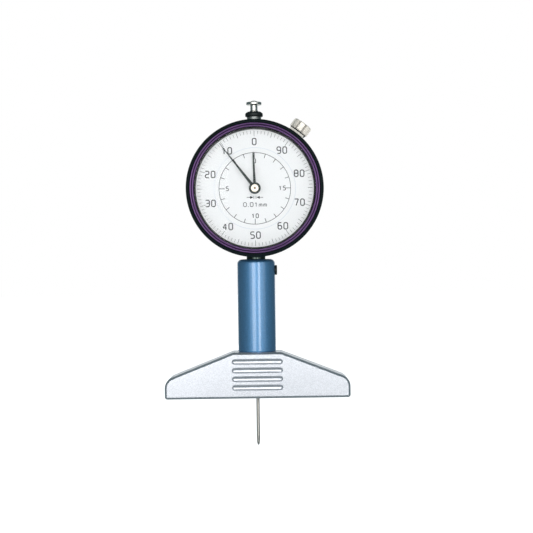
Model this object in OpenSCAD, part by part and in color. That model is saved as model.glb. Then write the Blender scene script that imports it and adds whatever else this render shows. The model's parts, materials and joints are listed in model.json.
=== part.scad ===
// Dial depth gauge with a spring-loaded needle, a wide notched base and a round grip.
// Millimetres. The origin is the centre of the measuring face, on the needle's axis.
// +Z runs up the needle's axis, the dial faces -Y and +X is to the right of the dial.

/* [Base] */
// Width of the measuring base
base_w = 77.6; // [64:0.1:96]
// Depth of the base, front to back
base_d = 17; // [15:0.1:24]
// Height of the base at its middle
base_h = 19.2; // [17:0.1:24]
// Height of the base at its two ends
base_end_h = 8; // [7:0.1:12]
// Width of the flat top of the base
base_top_w = 20.4; // [18:0.1:26]
// Radius of the upper corner at each end
end_corner_r = 5; // [1:0.1:6]
// Radius of the corner under each end
foot_corner_r = 0.8; // [0.2:0.1:2]
// Chamfer along the front and back edges
base_chamfer = 0.9; // [0.3:0.1:1.5]
// Length of each long groove
groove_len = 21.3; // [12:0.1:34]
// Height of each groove
groove_h = 2.45; // [1:0.05:2.6]
// Depth of each groove
groove_depth = 0.6; // [0.2:0.1:1.2]
// Height of the lowest groove's centre
groove_first_z = 4.6; // [2.6:0.1:4.8]
// Distance from one groove to the next
groove_pitch = 3.6; // [2.8:0.1:4]

/* [Needle and spindle] */
// Diameter of the needle
needle_d = 1.4; // [1:0.1:2.2]
// Length of needle below the base
needle_reach = 20.4; // [12:0.1:24]
// Diameter of the needle hole in the measuring face
needle_hole_d = 2.6; // [2.4:0.1:4]
// Diameter of the sliding spindle
spindle_d = 5; // [4.4:0.1:5.4]
// Diameter of the spindle's upper shank
shank_d = 3; // [2.4:0.1:3.4]
// Travel of the spindle
travel = 20.5; // [14:0.1:21.5]
// Diameter of the lifting cap
cap_d = 6.5; // [5:0.1:9]

/* [Grip and stem] */
// Outer diameter of the grip tube
grip_d = 16; // [13.4:0.1:20]
// Length of grip above the base
grip_len = 39; // [32:0.1:50]
// Diameter of the stem held in the grip
stem_d = 8; // [7.6:0.1:10]
// Length of stem inside the grip
stem_in_grip = 17.8; // [14:0.1:20]
// Diameter of the set screw that grips the stem
set_screw_d = 4.1; // [3:0.1:5]

/* [Dial head] */
// Outer diameter of the bezel
bezel_d = 57; // [47.5:0.1:70]
// Width of the bezel outside the dial opening
bezel_wall = 4.05; // [3.9:0.05:5]
// Thickness of the case wall
case_wall = 2.5; // [2.2:0.1:3.2]
// Thickness of the back cover
cover_t = 1.2; // [1:0.1:2]
// Angle of the pointer at rest, anticlockwise from the top
pointer_angle = 37.6; // [0:0.1:90]

/* [Bezel clamp] */
// Angle of the clamp, clockwise from the top
clamp_angle = 37.2; // [30:0.1:40]
// Diameter of the clamp knob
knob_d = 8.4; // [6.8:0.1:9.2]
// Height of the clamp knob
knob_h = 3.9; // [2.5:0.1:5]

/* [Hidden] */
$fn = 96;

// Clearances, radial or face to face
press_gap = 0.01;
run_gap = 0.025;
seat_gap = 0.1;
cut = 1;

// Heights up the needle's axis
groove_count = 4;
seat_depth = 6;
seat_d = grip_d - 4;
needle_hole_z = 4;
grip_top = base_h + grip_len;
stem_show = 0.8;
dial_z = grip_top + stem_show + bezel_d / 2;
stem_foot = grip_top - stem_in_grip;
bushing_len = 6;
bushing_flange = 1;

// Radii of the dial head
bezel_r = bezel_d / 2;
case_r = bezel_r - 1.5;
spigot_r = bezel_r - 2.3;
case_in_r = case_r - case_wall;
opening_r = bezel_r - bezel_wall;
crystal_r = opening_r + 0.65;
dial_r = opening_r + 1.1;
case_foot = dial_z - case_r - 0.5;
case_foot_d = stem_d + 3;
thread_d = stem_d - 1.2;
case_head = dial_z + case_r + 3.9;
case_in_top = dial_z + case_in_r;
case_in_foot = dial_z - case_in_r;

// Stack from the spindle towards the front
plate_t = 0.8;
gear_t = 0.5;
mid_back = -(spindle_d / 2 + 0.5);
mid_front = mid_back - plate_t;
hairspring_back = mid_front - 0.4;
hairspring_t = 0.4;
gear_back = mid_front - 1.2;
gear_front = gear_back - gear_t;
counter_back = gear_front - 0.6;
counter_front = counter_back - gear_t;
plate_back = counter_front - 0.4;
plate_front = plate_back - plate_t;
web_front = plate_front - 1.2;
ring_back = web_front - 0.15;
dial_back = ring_back - 0.45;
dial_front = dial_back - 0.5;
short_back = dial_front - 0.95;
pointer_t = 0.25;
sleeve_front = short_back - 0.4;
long_back = short_back - 0.9;
long_front = long_back - pointer_t;
ledge_front = long_front - 0.5;
seal_front = ledge_front - 0.3;
crystal_edge = seal_front - 0.9;
bezel_front = crystal_edge - 0.6;
arbor_front = long_front - 0.55;

// Stack from the spindle towards the back
cover_back = base_d / 2;
case_back = cover_back - cover_t;
cover_lip = 0.8;
skirt_back = min(plate_back + 1, -case_foot_d / 2 - 0.5);
shoulder_y = skirt_back + 0.2;
ring_y = min(plate_front + 0.6, skirt_back - 1.2);
ring_wire = 0.7;

// Gear train: rack and 16, then 100 on 10 for the pointer and 22 on 44 for the counter
rack_teeth = 16;
rack_pitch = 10 / rack_teeth;
rack_m = rack_pitch / PI;
main_teeth = 100;
centre_teeth = 10;
main_m = 0.18;
counter_small = 22;
counter_large = 44;
counter_m = 0.3;
lightening_ring = 0.29;
lightening_d = 0.24;
tooth_up = 0.7;
tooth_down = 0.95;
tooth_play = 0.12;
flank = tan(20);
rack_line = spindle_d / 2 - 0.8;
rack_pitch_r = rack_teeth * rack_m / 2;
arbor_x = rack_line + rack_pitch_r;
centre_distance = (main_teeth + centre_teeth) * main_m / 2;
arbor_dz = sqrt(centre_distance ^ 2 - arbor_x ^ 2);
mesh_angle = atan2(arbor_dz, arbor_x);
rack_arbor_z = dial_z - arbor_dz;
takeup_z = dial_z + arbor_dz;
rack_margin = 2.4;
rack_half_w = 1.2;

// Arbors and their bushes
arbor_d = 1;
bush_d = 3;
sleeve_d = 3;
front_bush_d = 5;
boss_d = 3.1;
boss_spigot_d = 2;

// Spindle details
shank_z = case_in_top - travel - 0.3;
spindle_foot = base_h - 1.2;
holder_len = 9;
holder_d = 4.4;
stud_d = 2.5;
stud_len = 4;
upper_top = case_head + 2.1;
neck_foot = upper_top + 0.1;
neck_d = 3.5;
cap_stud_d = 2;
upper_spigot_d = shank_d + 1.6;
upper_bore = shank_d + 0.8;
neck_len = 2.8;
cap_t = 1.2;
cap_dome = 0.7;
arm_t = 2.5;
arm_w = 3;
arm_stud_d = 1.6;
arm_seat_x = spindle_d / 2 - 0.4;
arm_top = shank_z - 4;
arm_foot = arm_top - arm_t;
rod_d = 2;
rod_x = spindle_d / 2 + 8.5;
rod_bite = 1.2;

// Return spring
spring_x = spindle_d / 2 + 4;
spring_d = 3;
spring_wire = 0.35;
spring_turns = 15;
peg_d = 1.7;
peg_len = 2.4;
post_foot = dial_z - sqrt(case_in_r ^ 2 - spring_x ^ 2);
spring_foot = post_foot + 0.6;
spring_top = arm_foot - 0.3;

// Hairspring
collet_d = 2.4;
hairspring_in = collet_d / 2 + 0.15;
hairspring_out = 5.4;
hairspring_turns = 5;
hairspring_w = 0.14;
hairspring_gap = 0.5;
stud_x = hairspring_out + 0.1;
stud_pin_d = 1;

// Turns of the long pointer in one turn of the short pointer
counted_turns = 20;

// Fasteners and pillars
pillar_d = 3;
pillar_bore = 1.6;
pillar_r = case_in_r - pillar_d / 2 - 1.5;
pillar_angles = [19.4, 150, 199.4, 330];
screw_d = 1.4;
head_d = 2.8;
head_t = 0.8;
cock_t = 1;
cock_front = spindle_d / 2 + 0.7;
cock_back = cock_front + cock_t;
cock_x = arbor_x + 5.7;
cock_dz = 6.5;
cover_screw_d = 1.2;
cover_head_d = 2.2;
cover_screw_r = (case_in_r + case_r) / 2 - 0.35;
cover_screw_len = 4.5;
plate_r = case_in_r - 0.3;

// Clamp, measured outwards from the dial's axis
clamp_y = shoulder_y + 3.2;
clamp_boss_d = 6.4;
clamp_boss_r = bezel_r + 0.4;
claw_t = 0.7;
claw_w = 6.6;
claw_front = skirt_back - 3.5;
claw_r = clamp_boss_r + seat_gap;
claw_back = shoulder_y + 6.7;
knob_r = claw_r + claw_t + 0.85;
knob_neck_d = knob_d - 1;
clamp_screw_d = 3;
clamp_screw_foot = case_in_r + 0.2;
flutes = 8;
flute_d = 1;

// ---- Shared shapes ----

// Extrudes a front-view outline (x, z) between two depths
module slab(front, back) {
    translate([0, back, 0]) rotate([90, 0, 0]) linear_extrude(height = back - front) children();
}

// Turns a profile of [radius, depth] about the dial's axis
module turned(profile) {
    translate([0, 0, dial_z]) rotate([-90, 0, 0]) rotate_extrude() polygon(profile);
}

module rod_z(d, low, high) {
    translate([0, 0, low]) cylinder(d = d, h = high - low);
}

module rod_y(d, front, back) {
    translate([0, front, 0]) rotate([-90, 0, 0]) cylinder(d = d, h = back - front);
}

module tube_y(outer, inner, front, back) {
    difference() {
        rod_y(outer, front, back);
        rod_y(inner, front - cut, back + cut);
    }
}

module on_dial() { translate([0, 0, dial_z]) children(); }
module on_rack_arbor() { translate([-arbor_x, 0, rack_arbor_z]) children(); }
module on_takeup() { translate([arbor_x, 0, takeup_z]) children(); }
module on_clamp() { translate([0, clamp_y, dial_z]) rotate([0, clamp_angle, 0]) children(); }

// Places a child at each pillar of the movement
module on_pillars() {
    for (a = pillar_angles)
        translate([pillar_r * cos(a), 0, dial_z + pillar_r * sin(a)]) children();
}

module on_cock_pillars() {
    for (side = [-1, 1])
        translate([-cock_x, 0, rack_arbor_z + side * cock_dz]) children();
}

module on_cover_screws() {
    for (a = [45 : 90 : 315])
        translate([cover_screw_r * cos(a), 0, dial_z + cover_screw_r * sin(a)]) children();
}

function polar(r, a) = [r * cos(a), r * sin(a)];

// Points of an arc about a centre, from one angle to another
function arc(centre, r, from, to, steps = 8) =
    [for (i = [0 : steps]) centre + polar(r, from + (to - from) * i / steps)];

// Half width of a tooth at a height above the pitch line
function tooth_half(m, height) = m * (PI / 4 - tooth_play) - height * flank;

// Outline of a spur gear whose first tooth points at an angle
function gear_outline(teeth, m, first) =
    let (tip = teeth * m / 2 + tooth_up * m, root = teeth * m / 2 - tooth_down * m)
    let (tip_a = tooth_half(m, tooth_up * m) / tip * 180 / PI)
    let (root_a = tooth_half(m, -tooth_down * m) / root * 180 / PI)
    [for (i = [0 : teeth - 1]) let (a = first + i * 360 / teeth)
        each [polar(root, a - root_a), polar(tip, a - tip_a), polar(tip, a + tip_a),
              polar(root, a + root_a)]];

module gear(teeth, m, first, bore, front, back) {
    difference() {
        slab(front, back) polygon(gear_outline(teeth, m, first));
        rod_y(bore, front - cut, back + cut);
    }
}

// Gear with round lightening holes about its bore
module light_gear(teeth, m, first, bore, front, back) {
    hole_ring = teeth * m * lightening_ring;
    difference() {
        gear(teeth, m, first, bore, front, back);
        for (a = [45 : 90 : 315])
            translate([hole_ring * cos(a), 0, hole_ring * sin(a)])
                rod_y(teeth * m * lightening_d, front - cut, back + cut);
    }
}

module screw_y(d, head, head_h, tip, face) {
    slot_w = 0.3;
    slot_depth = 0.3;
    difference() {
        union() {
            rod_y(d, tip, face);
            rod_y(head, face, face + head_h);
        }
        translate([-head, face + head_h - slot_depth, -slot_w / 2])
            cube([2 * head, slot_depth + cut, slot_w]);
    }
}

// ---- Base and grip ----

// Front view of the base, drawn in by a margin all round
function base_outline(margin) =
    let (half = base_w / 2, top = base_top_w / 2)
    let (slope = atan2(base_h - base_end_h, half - top))
    let (end_r = end_corner_r, foot_r = foot_corner_r)
    let (end_z = base_end_h - end_r * tan(45 - slope / 2))
    let (right = concat(
        arc([half - foot_r, foot_r], foot_r - min(margin, foot_r * 0.9), -90, 0, 4),
        arc([half - end_r, end_z], end_r - margin, 0, 90 - slope, 8),
        [[top - margin * tan(slope / 2), base_h - margin]]))
    let (inset = min(margin, foot_r * 0.9) - margin)
    [for (p = right) [p[0] + (p[1] < foot_r ? inset : 0), max(p[1], margin)]];

module base_profile(margin) {
    side = base_outline(margin);
    polygon(concat(side, [for (i = [len(side) - 1 : -1 : 0]) [-side[i][0], side[i][1]]]));
}

module chamfered_base() {
    inner = base_d / 2 - base_chamfer;
    hull() {
        slab(-inner, inner) base_profile(0);
        slab(-base_d / 2, base_d / 2) base_profile(base_chamfer);
    }
}

module groove(z) {
    straight = groove_len - groove_h;
    slab(-base_d / 2 - cut, -base_d / 2 + groove_depth) {
        translate([-straight / 2, z - groove_h / 2]) square([straight, groove_h]);
        for (side = [-1, 1])
            translate([side * straight / 2, z]) circle(d = groove_h);
    }
}

module base_block() {
    color([0.80, 0.83, 0.87])
    difference() {
        chamfered_base();
        for (i = [0 : groove_count - 1])
            groove(groove_first_z + i * groove_pitch);
        rod_z(needle_hole_d, -cut, base_h);
        rod_z(holder_d + 2.6, needle_hole_z, base_h);
        rod_z(seat_d + 2 * press_gap, base_h - seat_depth - seat_gap, base_h + cut);
    }
}

module grip_tube() {
    edge = 1.3;
    outer = grip_d / 2;
    inner_top = stem_d / 2 + press_gap;
    inner_low = stem_d / 2 + 0.5;
    step_z = stem_foot - bushing_flange - seat_gap;
    color([0.36, 0.52, 0.66])
    difference() {
        rotate_extrude()
            polygon(concat(
                [[inner_low, base_h - seat_depth], [seat_d / 2, base_h - seat_depth],
                 [seat_d / 2, base_h], [outer - 0.4, base_h], [outer, base_h + 0.4]],
                arc([outer - edge, grip_top - edge], edge, 0, 90, 8),
                [[inner_top, grip_top], [inner_top, step_z], [inner_low, step_z]]));
        translate([0, 0, set_screw_z()]) rotate([0, 90, 0])
            cylinder(d = set_screw_d + 2 * press_gap, h = grip_d);
    }
}

function set_screw_z() = grip_top - 4.7;

module stem_set_screw() {
    proud = 0.85;
    socket = 2.2;
    first = stem_d / 2 + 2 * press_gap;
    last = grip_d / 2 + proud;
    color([0.10, 0.10, 0.11])
    translate([first, 0, set_screw_z()]) rotate([0, 90, 0])
    difference() {
        cylinder(d = set_screw_d, h = last - first);
        translate([0, 0, last - first - 1.6]) cylinder(d = socket, h = 1.6 + cut, $fn = 6);
    }
}

// ---- Case ----

module case() {
    flare = 1.2;
    boss_top_d = 6;
    color([0.50, 0.53, 0.52])
    difference() {
        union() {
            turned([[0, web_front], [spigot_r, web_front], [spigot_r, shoulder_y],
                    [case_r - 0.3, shoulder_y], [case_r, shoulder_y + 0.3],
                    [case_r, case_back], [0, case_back]]);
            rod_z(case_foot_d, case_foot, dial_z - case_in_r + 1);
            rod_z(boss_top_d, dial_z + case_in_r - 1, case_head);
            translate([0, 0, dial_z + case_r - 0.5])
                cylinder(d1 = boss_top_d + 2 * flare, d2 = boss_top_d, h = 2 * flare);
            on_clamp() rod_z(clamp_boss_d, case_in_r - 1, clamp_boss_r);
        }
        turned([[0, plate_front], [case_in_r, plate_front], [case_in_r, case_back + cut],
                [0, case_back + cut]]);
        turned([[spigot_r - ring_wire / 2 - 0.05, ring_y - 0.4], [spigot_r + cut, ring_y - 0.4],
                [spigot_r + cut, ring_y + 0.4], [spigot_r - ring_wire / 2 - 0.05, ring_y + 0.4]]);
        on_dial() rod_y(front_bush_d + 2 * press_gap, web_front - cut, plate_front + cut);
        rod_z(thread_d + 2 * press_gap, case_foot - cut, dial_z - case_in_r + cut);
        rod_z(upper_spigot_d + 2 * press_gap, case_in_top - cut, case_head + cut);
        on_clamp() rod_z(clamp_screw_d + 0.2, case_in_r - cut, clamp_boss_r + cut);
        on_pillars() rod_y(screw_d + 2 * press_gap, web_front + 0.3, plate_front + cut);
        on_cover_screws()
            rod_y(cover_screw_d + 2 * press_gap, case_back - cover_screw_len, case_back + cut);
        translate([rod_x, 0, 0]) rod_z(rod_d + 2 * press_gap, rod_low(), rod_high());
        translate([spring_x, 0, 0]) rod_z(peg_d + 2 * press_gap, post_foot - rod_bite, dial_z);
    }
}

function rod_half() = sqrt(case_in_r ^ 2 - rod_x ^ 2) + rod_bite;
function rod_low() = dial_z - rod_half();
function rod_high() = dial_z + rod_half();

module back_cover() {
    color([0.46, 0.49, 0.49])
    difference() {
        turned([[0, case_back - cover_lip], [case_in_r - run_gap, case_back - cover_lip],
                [case_in_r - run_gap, case_back], [case_r, case_back],
                [case_r, cover_back - 0.4], [case_r - 0.4, cover_back], [0, cover_back]]);
        on_cover_screws() {
            rod_y(cover_screw_d + 0.2, case_back - cover_lip - cut, cover_back + cut);
            rod_y(cover_head_d + 0.1, cover_back - 0.7, cover_back + cut);
        }
    }
}

module back_cover_screws() {
    head = 0.65;
    color([0.75, 0.75, 0.76])
    on_cover_screws()
        screw_y(cover_screw_d, cover_head_d, head, cover_back - 0.7 - cover_screw_len,
                cover_back - 0.7);
}

// ---- Stems and bushes ----

module lower_stem() {
    bore = stem_d - 1.8;
    color([0.13, 0.14, 0.14])
    difference() {
        union() {
            rod_z(stem_d, stem_foot, case_foot);
            rod_z(thread_d, case_foot, case_in_foot);
        }
        rod_z(bore, stem_foot - cut, case_in_foot + cut);
    }
}

module lower_bushing() {
    color([0.80, 0.66, 0.36])
    difference() {
        union() {
            rod_z(stem_d - 1.8 - 2 * press_gap, stem_foot, stem_foot + bushing_len);
            rod_z(stem_d - 0.2, stem_foot - bushing_flange, stem_foot);
        }
        rod_z(spindle_d + 2 * run_gap, stem_foot - bushing_flange - cut,
              stem_foot + bushing_len + cut);
    }
}

module upper_stem() {
    flange_d = 7.5;
    collar_d = 5.7;
    flange_t = 1.4;
    color([0.08, 0.08, 0.09])
    difference() {
        union() {
            rod_z(upper_spigot_d, case_in_top, case_head);
            rod_z(flange_d, case_head, case_head + flange_t);
            translate([0, 0, case_head + flange_t])
                cylinder(d1 = flange_d, d2 = collar_d, h = upper_top - case_head - flange_t);
        }
        rod_z(upper_bore, case_in_top - cut, upper_top + cut);
    }
}

module upper_bush() {
    color([0.80, 0.66, 0.36])
    difference() {
        rod_z(upper_bore - 2 * press_gap, case_in_top, upper_top);
        rod_z(shank_d + 2 * run_gap, case_in_top - cut, upper_top + cut);
    }
}

// ---- Movement frame ----

module movement_plate(front, back) {
    difference() {
        on_dial() rod_y(2 * plate_r, front, back);
        on_pillars() rod_y(pillar_bore, front - cut, back + cut);
        translate([spring_x, 0, case_in_foot]) rod_y(2, front - cut, back + cut);
    }
}

module front_plate() {
    color([0.83, 0.70, 0.40])
    difference() {
        movement_plate(plate_front, plate_back);
        on_dial() rod_y(front_bush_d + 2 * press_gap, plate_front - cut, plate_back + cut);
        on_rack_arbor() rod_y(bush_d + 2 * press_gap, plate_front - cut, plate_back + cut);
        on_takeup() rod_y(bush_d + 2 * press_gap, plate_front - cut, plate_back + cut);
    }
}

module mid_plate() {
    color([0.83, 0.70, 0.40])
    difference() {
        movement_plate(mid_front, mid_back);
        on_dial() rod_y(bush_d + 2 * press_gap, mid_front - cut, mid_back + cut);
        on_takeup() rod_y(bush_d + 2 * press_gap, mid_front - cut, mid_back + cut);
        on_rack_arbor() rod_y(2.4, mid_front - cut, mid_back + cut);
        on_cock_pillars() rod_y(screw_d + 2 * press_gap, mid_front - cut, mid_back + cut);
        on_takeup() translate([stud_x, 0, 0])
            rod_y(stud_pin_d + 2 * press_gap, mid_front - cut, mid_back + cut);
    }
}

module plate_pillars() {
    color([0.80, 0.66, 0.36])
    on_pillars() tube_y(pillar_d, pillar_bore, plate_back, mid_front);
}

module movement_screws() {
    color([0.62, 0.63, 0.66])
    on_pillars() screw_y(screw_d, head_d, head_t, web_front + 0.4, mid_back);
}

module front_bush() {
    color([0.80, 0.66, 0.36])
    on_dial() difference() {
        union() {
            rod_y(front_bush_d, web_front, plate_back);
            rod_y(front_bush_d + 1.4, plate_back, plate_back + 0.2);
        }
        rod_y(sleeve_d + 2 * run_gap, web_front - cut, plate_back + cut);
    }
}

// One bush per pivot of the movement's arbors
module arbor_bushes() {
    inner = arbor_d + 2 * run_gap;
    color([0.76, 0.60, 0.30]) {
        on_rack_arbor() tube_y(bush_d, inner, plate_front, plate_back);
        on_takeup() tube_y(bush_d, inner, plate_front, plate_back);
        on_dial() tube_y(bush_d, inner, mid_front, mid_back);
        on_takeup() tube_y(bush_d, inner, mid_front, mid_back);
        on_rack_arbor() tube_y(bush_d, inner, cock_front, cock_back);
    }
}

module rear_cock() {
    left = cock_x + 2;
    right = arbor_x - 2;
    half_h = cock_dz + 2;
    color([0.83, 0.70, 0.40])
    difference() {
        translate([0, 0, rack_arbor_z]) slab(cock_front, cock_back)
            translate([-left, -half_h]) square([left - right, 2 * half_h]);
        on_rack_arbor() rod_y(bush_d + 2 * press_gap, cock_front - cut, cock_back + cut);
        on_cock_pillars() rod_y(pillar_bore, cock_front - cut, cock_back + cut);
    }
}

module cock_pillars() {
    color([0.80, 0.66, 0.36])
    on_cock_pillars() tube_y(pillar_d, pillar_bore, mid_back, cock_front);
}

module cock_screws() {
    color([0.62, 0.63, 0.66])
    on_cock_pillars() screw_y(screw_d, head_d, head_t, mid_front + 0.1, cock_back);
}

module guide_rod() {
    color([0.70, 0.71, 0.73])
    translate([rod_x, 0, 0]) rod_z(rod_d, rod_low() + 0.05, rod_high() - 0.05);
}

module spring_post() {
    color([0.70, 0.71, 0.73])
    translate([spring_x, 0, 0])
        rod_z(peg_d, post_foot - rod_bite + 0.05, spring_foot + peg_len);
}

// Coil of round wire, swept as one closed skin
module return_spring() {
    sides = 6;
    steps = 14 * spring_turns;
    mean_r = (spring_d - spring_wire) / 2;
    rise = (spring_top - spring_foot - spring_wire) / steps;
    ring = function (i) let (a = i * 360 / 14)
        [for (k = [0 : sides - 1]) let (b = k * 360 / sides)
            [(mean_r + spring_wire / 2 * cos(b)) * cos(a),
             (mean_r + spring_wire / 2 * cos(b)) * sin(a),
             spring_wire / 2 + i * rise + spring_wire / 2 * sin(b)]];
    points = [for (i = [0 : steps]) each ring(i)];
    walls = [for (i = [0 : steps - 1], k = [0 : sides - 1]) let (n = (k + 1) % sides)
        [i * sides + k, (i + 1) * sides + k, (i + 1) * sides + n, i * sides + n]];
    start_cap = [for (k = [0 : sides - 1]) k];
    end_cap = [for (k = [sides - 1 : -1 : 0]) steps * sides + k];
    color([0.58, 0.59, 0.62])
    translate([spring_x, 0, spring_foot])
        polyhedron(points, concat(walls, [start_cap, end_cap]));
}

// Flat spiral between the collet and its stud
module hairspring() {
    steps = 20 * hairspring_turns;
    centre_line = function (i) hairspring_in + hairspring_w / 2
        + (hairspring_out - hairspring_gap - hairspring_in - hairspring_w) * i / steps;
    side = function (offset) [for (i = [0 : steps]) polar(centre_line(i) + offset, i * 18)];
    inner = side(-hairspring_w / 2);
    outer = side(hairspring_w / 2);
    color([0.30, 0.34, 0.50])
    on_takeup() slab(hairspring_back - hairspring_t, hairspring_back)
        polygon(concat(inner, [for (i = [steps : -1 : 0]) outer[i]]));
}

module hairspring_stud() {
    color([0.70, 0.71, 0.73])
    on_takeup() translate([stud_x, 0, 0])
        rod_y(stud_pin_d, hairspring_back - hairspring_t - 0.1, mid_back);
}

// Split wire ring that holds the bezel on the case
module bezel_spring_ring() {
    color([0.62, 0.63, 0.66])
    translate([0, ring_y, dial_z]) rotate([-90, 0, 0])
        rotate_extrude(angle = 340) translate([spigot_r, 0]) circle(d = ring_wire, $fn = 24);
}

// ---- Spindle ----

// Cutter that leaves the rack's teeth on the spindle's -X side
module rack_cutter() {
    tip_x = -rack_line - tooth_up * rack_m;
    root_x = -rack_line + tooth_down * rack_m;
    low = rack_arbor_z - travel - rack_margin;
    high = rack_arbor_z + rack_margin;
    tip = rack_pitch / 2 - tooth_half(rack_m, tooth_up * rack_m);
    root = rack_pitch / 2 - tooth_half(rack_m, -tooth_down * rack_m);
    below = floor((rack_arbor_z - low) / rack_pitch);
    above = floor(rack_margin / rack_pitch);
    gaps = [for (i = [-below + 1 : above - 1]) let (z = rack_arbor_z + i * rack_pitch)
        each [[tip_x, z - tip], [root_x, z - root], [root_x, z + root], [tip_x, z + tip]]];
    slab(-spindle_d, spindle_d)
        polygon(concat([[-spindle_d, low], [tip_x, low]], gaps, [[tip_x, high], [-spindle_d, high]]));
}

module spindle() {
    stud_z = (arm_foot + arm_top) / 2;
    color([0.80, 0.81, 0.82])
    difference() {
        union() {
            rod_z(spindle_d, spindle_foot, shank_z);
            rod_z(shank_d, shank_z, neck_foot);
            rod_z(cap_stud_d, neck_foot, neck_foot + neck_len);
        }
        rack_cutter();
        rod_z(stud_d + 2 * press_gap, spindle_foot - cut, spindle_foot + stud_len + seat_gap);
        translate([-0.5, 0, stud_z]) rotate([0, 90, 0])
            cylinder(d = arm_stud_d + 2 * press_gap, h = spindle_d);
        translate([arm_seat_x, -spindle_d, arm_foot - seat_gap])
            cube([spindle_d, 2 * spindle_d, arm_t + 2 * seat_gap]);
    }
}

module lifting_cap() {
    foot = neck_foot + neck_len;
    dome_r = 1.5;
    color([0.82, 0.82, 0.80])
    difference() {
        rotate_extrude()
            polygon(concat(
                [[0, neck_foot], [neck_d / 2, neck_foot], [neck_d / 2, foot],
                 [cap_d / 2, foot], [cap_d / 2, foot + cap_t - 0.2],
                 [cap_d / 2 - 0.3, foot + cap_t], [dome_r, foot + cap_t]],
                [for (i = [1 : 5]) let (a = i * 18)
                    [dome_r * cos(a), foot + cap_t + cap_dome * sin(a)]]));
        rod_z(cap_stud_d + 2 * press_gap, neck_foot - cut, foot + 0.1);
    }
}

// Arm that keeps the spindle from turning and carries the spring's upper peg
module guide_arm() {
    last_x = rod_x + rod_d;
    color([0.80, 0.66, 0.36])
    difference() {
        union() {
            translate([arm_seat_x + press_gap, -arm_w / 2, arm_foot])
                cube([last_x - arm_seat_x, arm_w, arm_t]);
            translate([-0.4, 0, (arm_foot + arm_top) / 2]) rotate([0, 90, 0])
                cylinder(d = arm_stud_d, h = arm_seat_x + 1);
            translate([spring_x, 0, 0]) rod_z(peg_d, arm_foot - peg_len, arm_foot + cut);
        }
        translate([rod_x, 0, 0]) rod_z(rod_d + 2 * run_gap, arm_foot - cut, arm_top + cut);
    }
}

module needle_holder() {
    foot = spindle_foot - holder_len;
    color([0.80, 0.66, 0.36])
    difference() {
        union() {
            translate([0, 0, foot]) cylinder(d1 = holder_d - 1, d2 = holder_d, h = 0.5);
            rod_z(holder_d, foot + 0.5, spindle_foot);
            rod_z(stud_d, spindle_foot, spindle_foot + stud_len);
        }
        rod_z(needle_d + 2 * press_gap, foot - cut, foot + 4);
    }
}

module needle() {
    tip_len = 0.9;
    top = spindle_foot - holder_len + 3.9;
    color([0.62, 0.60, 0.57])
    rotate_extrude()
        polygon([[0, -needle_reach], [needle_d / 2 - 0.35, -needle_reach],
                 [needle_d / 2 - 0.1, -needle_reach + tip_len / 3],
                 [needle_d / 2, -needle_reach + tip_len], [needle_d / 2, top], [0, top]]);
}

// ---- Bezel and dial ----

module bezel() {
    bore = spigot_r + 0.05;
    groove_r = spigot_r + ring_wire / 2 + 0.15;
    band = bezel_r - 1.4;
    color([0.40, 0.32, 0.46])
    turned([[opening_r, ledge_front], [crystal_r + 0.02, ledge_front],
            [crystal_r + 0.02, bezel_front + 0.25], [crystal_r + 0.27, bezel_front],
            [band, bezel_front], [band + 0.2, bezel_front + 0.3],
            [bezel_r - 0.5, bezel_front + 0.7], [bezel_r, bezel_front + 1.3],
            [bezel_r, skirt_back - 0.5], [bezel_r - 0.5, skirt_back], [bore, skirt_back],
            [bore, ring_y + 0.4], [groove_r, ring_y + 0.4], [groove_r, ring_y - 0.4],
            [bore, ring_y - 0.4], [bore, ring_back], [dial_r + 0.05, ring_back],
            [dial_r + 0.05, dial_front], [opening_r, dial_front]]);
}

module crystal() {
    dome = 0.5;
    steps = 8;
    color([0.90, 0.94, 0.96, 0.3])
    turned(concat([[0, seal_front], [crystal_r, seal_front], [crystal_r, crystal_edge]],
        [for (i = [1 : steps]) let (r = crystal_r * (1 - i / steps))
            [r, crystal_edge - dome * (1 - (r / crystal_r) ^ 2)]]));
}

module crystal_seal() {
    color([0.06, 0.06, 0.07])
    turned([[opening_r, seal_front], [crystal_r - 0.02, seal_front],
            [crystal_r - 0.02, ledge_front], [opening_r, ledge_front]]);
}

module dial_plate() {
    color([0.95, 0.95, 0.94])
    on_dial() tube_y(2 * dial_r, sleeve_d + 0.8, dial_front, dial_back);
}

module dial_retaining_ring() {
    color([0.62, 0.63, 0.66])
    on_dial() tube_y(2 * dial_r + 0.06, 2 * dial_r - 1.3, dial_back, ring_back);
}

// ---- Pointers ----

// Outline of a tapered hand that points up, with a round hub
module hand(length, root_w, tip_w, hub_d, bore) {
    difference() {
        union() {
            circle(d = hub_d, $fn = 48);
            polygon([[-root_w / 2, 0], [root_w / 2, 0], [tip_w / 2, length], [-tip_w / 2, length]]);
        }
        circle(d = bore, $fn = 48);
    }
}

module centre_arbor() {
    color([0.25, 0.25, 0.27])
    on_dial() {
        rod_y(arbor_d, arbor_front, mid_back);
        slab(gear_front - 0.1, gear_back + 0.1)
            polygon(gear_outline(centre_teeth, main_m, mesh_angle + 180 / centre_teeth));
    }
}

module long_pointer() {
    color([0.08, 0.10, 0.09])
    on_dial() slab(long_front, long_back)
        rotate(pointer_angle) hand(opening_r - 0.85, 1.2, 0.16, 4.9, boss_spigot_d + 2 * press_gap);
}

module pointer_boss() {
    color([0.88, 0.86, 0.78])
    on_dial() difference() {
        union() {
            rod_y(boss_d, long_front - 0.45, long_front);
            rod_y(boss_spigot_d, long_front - 0.1, long_back + 0.35);
        }
        rod_y(arbor_d + 2 * press_gap, long_front - cut, long_back + cut);
    }
}

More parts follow.
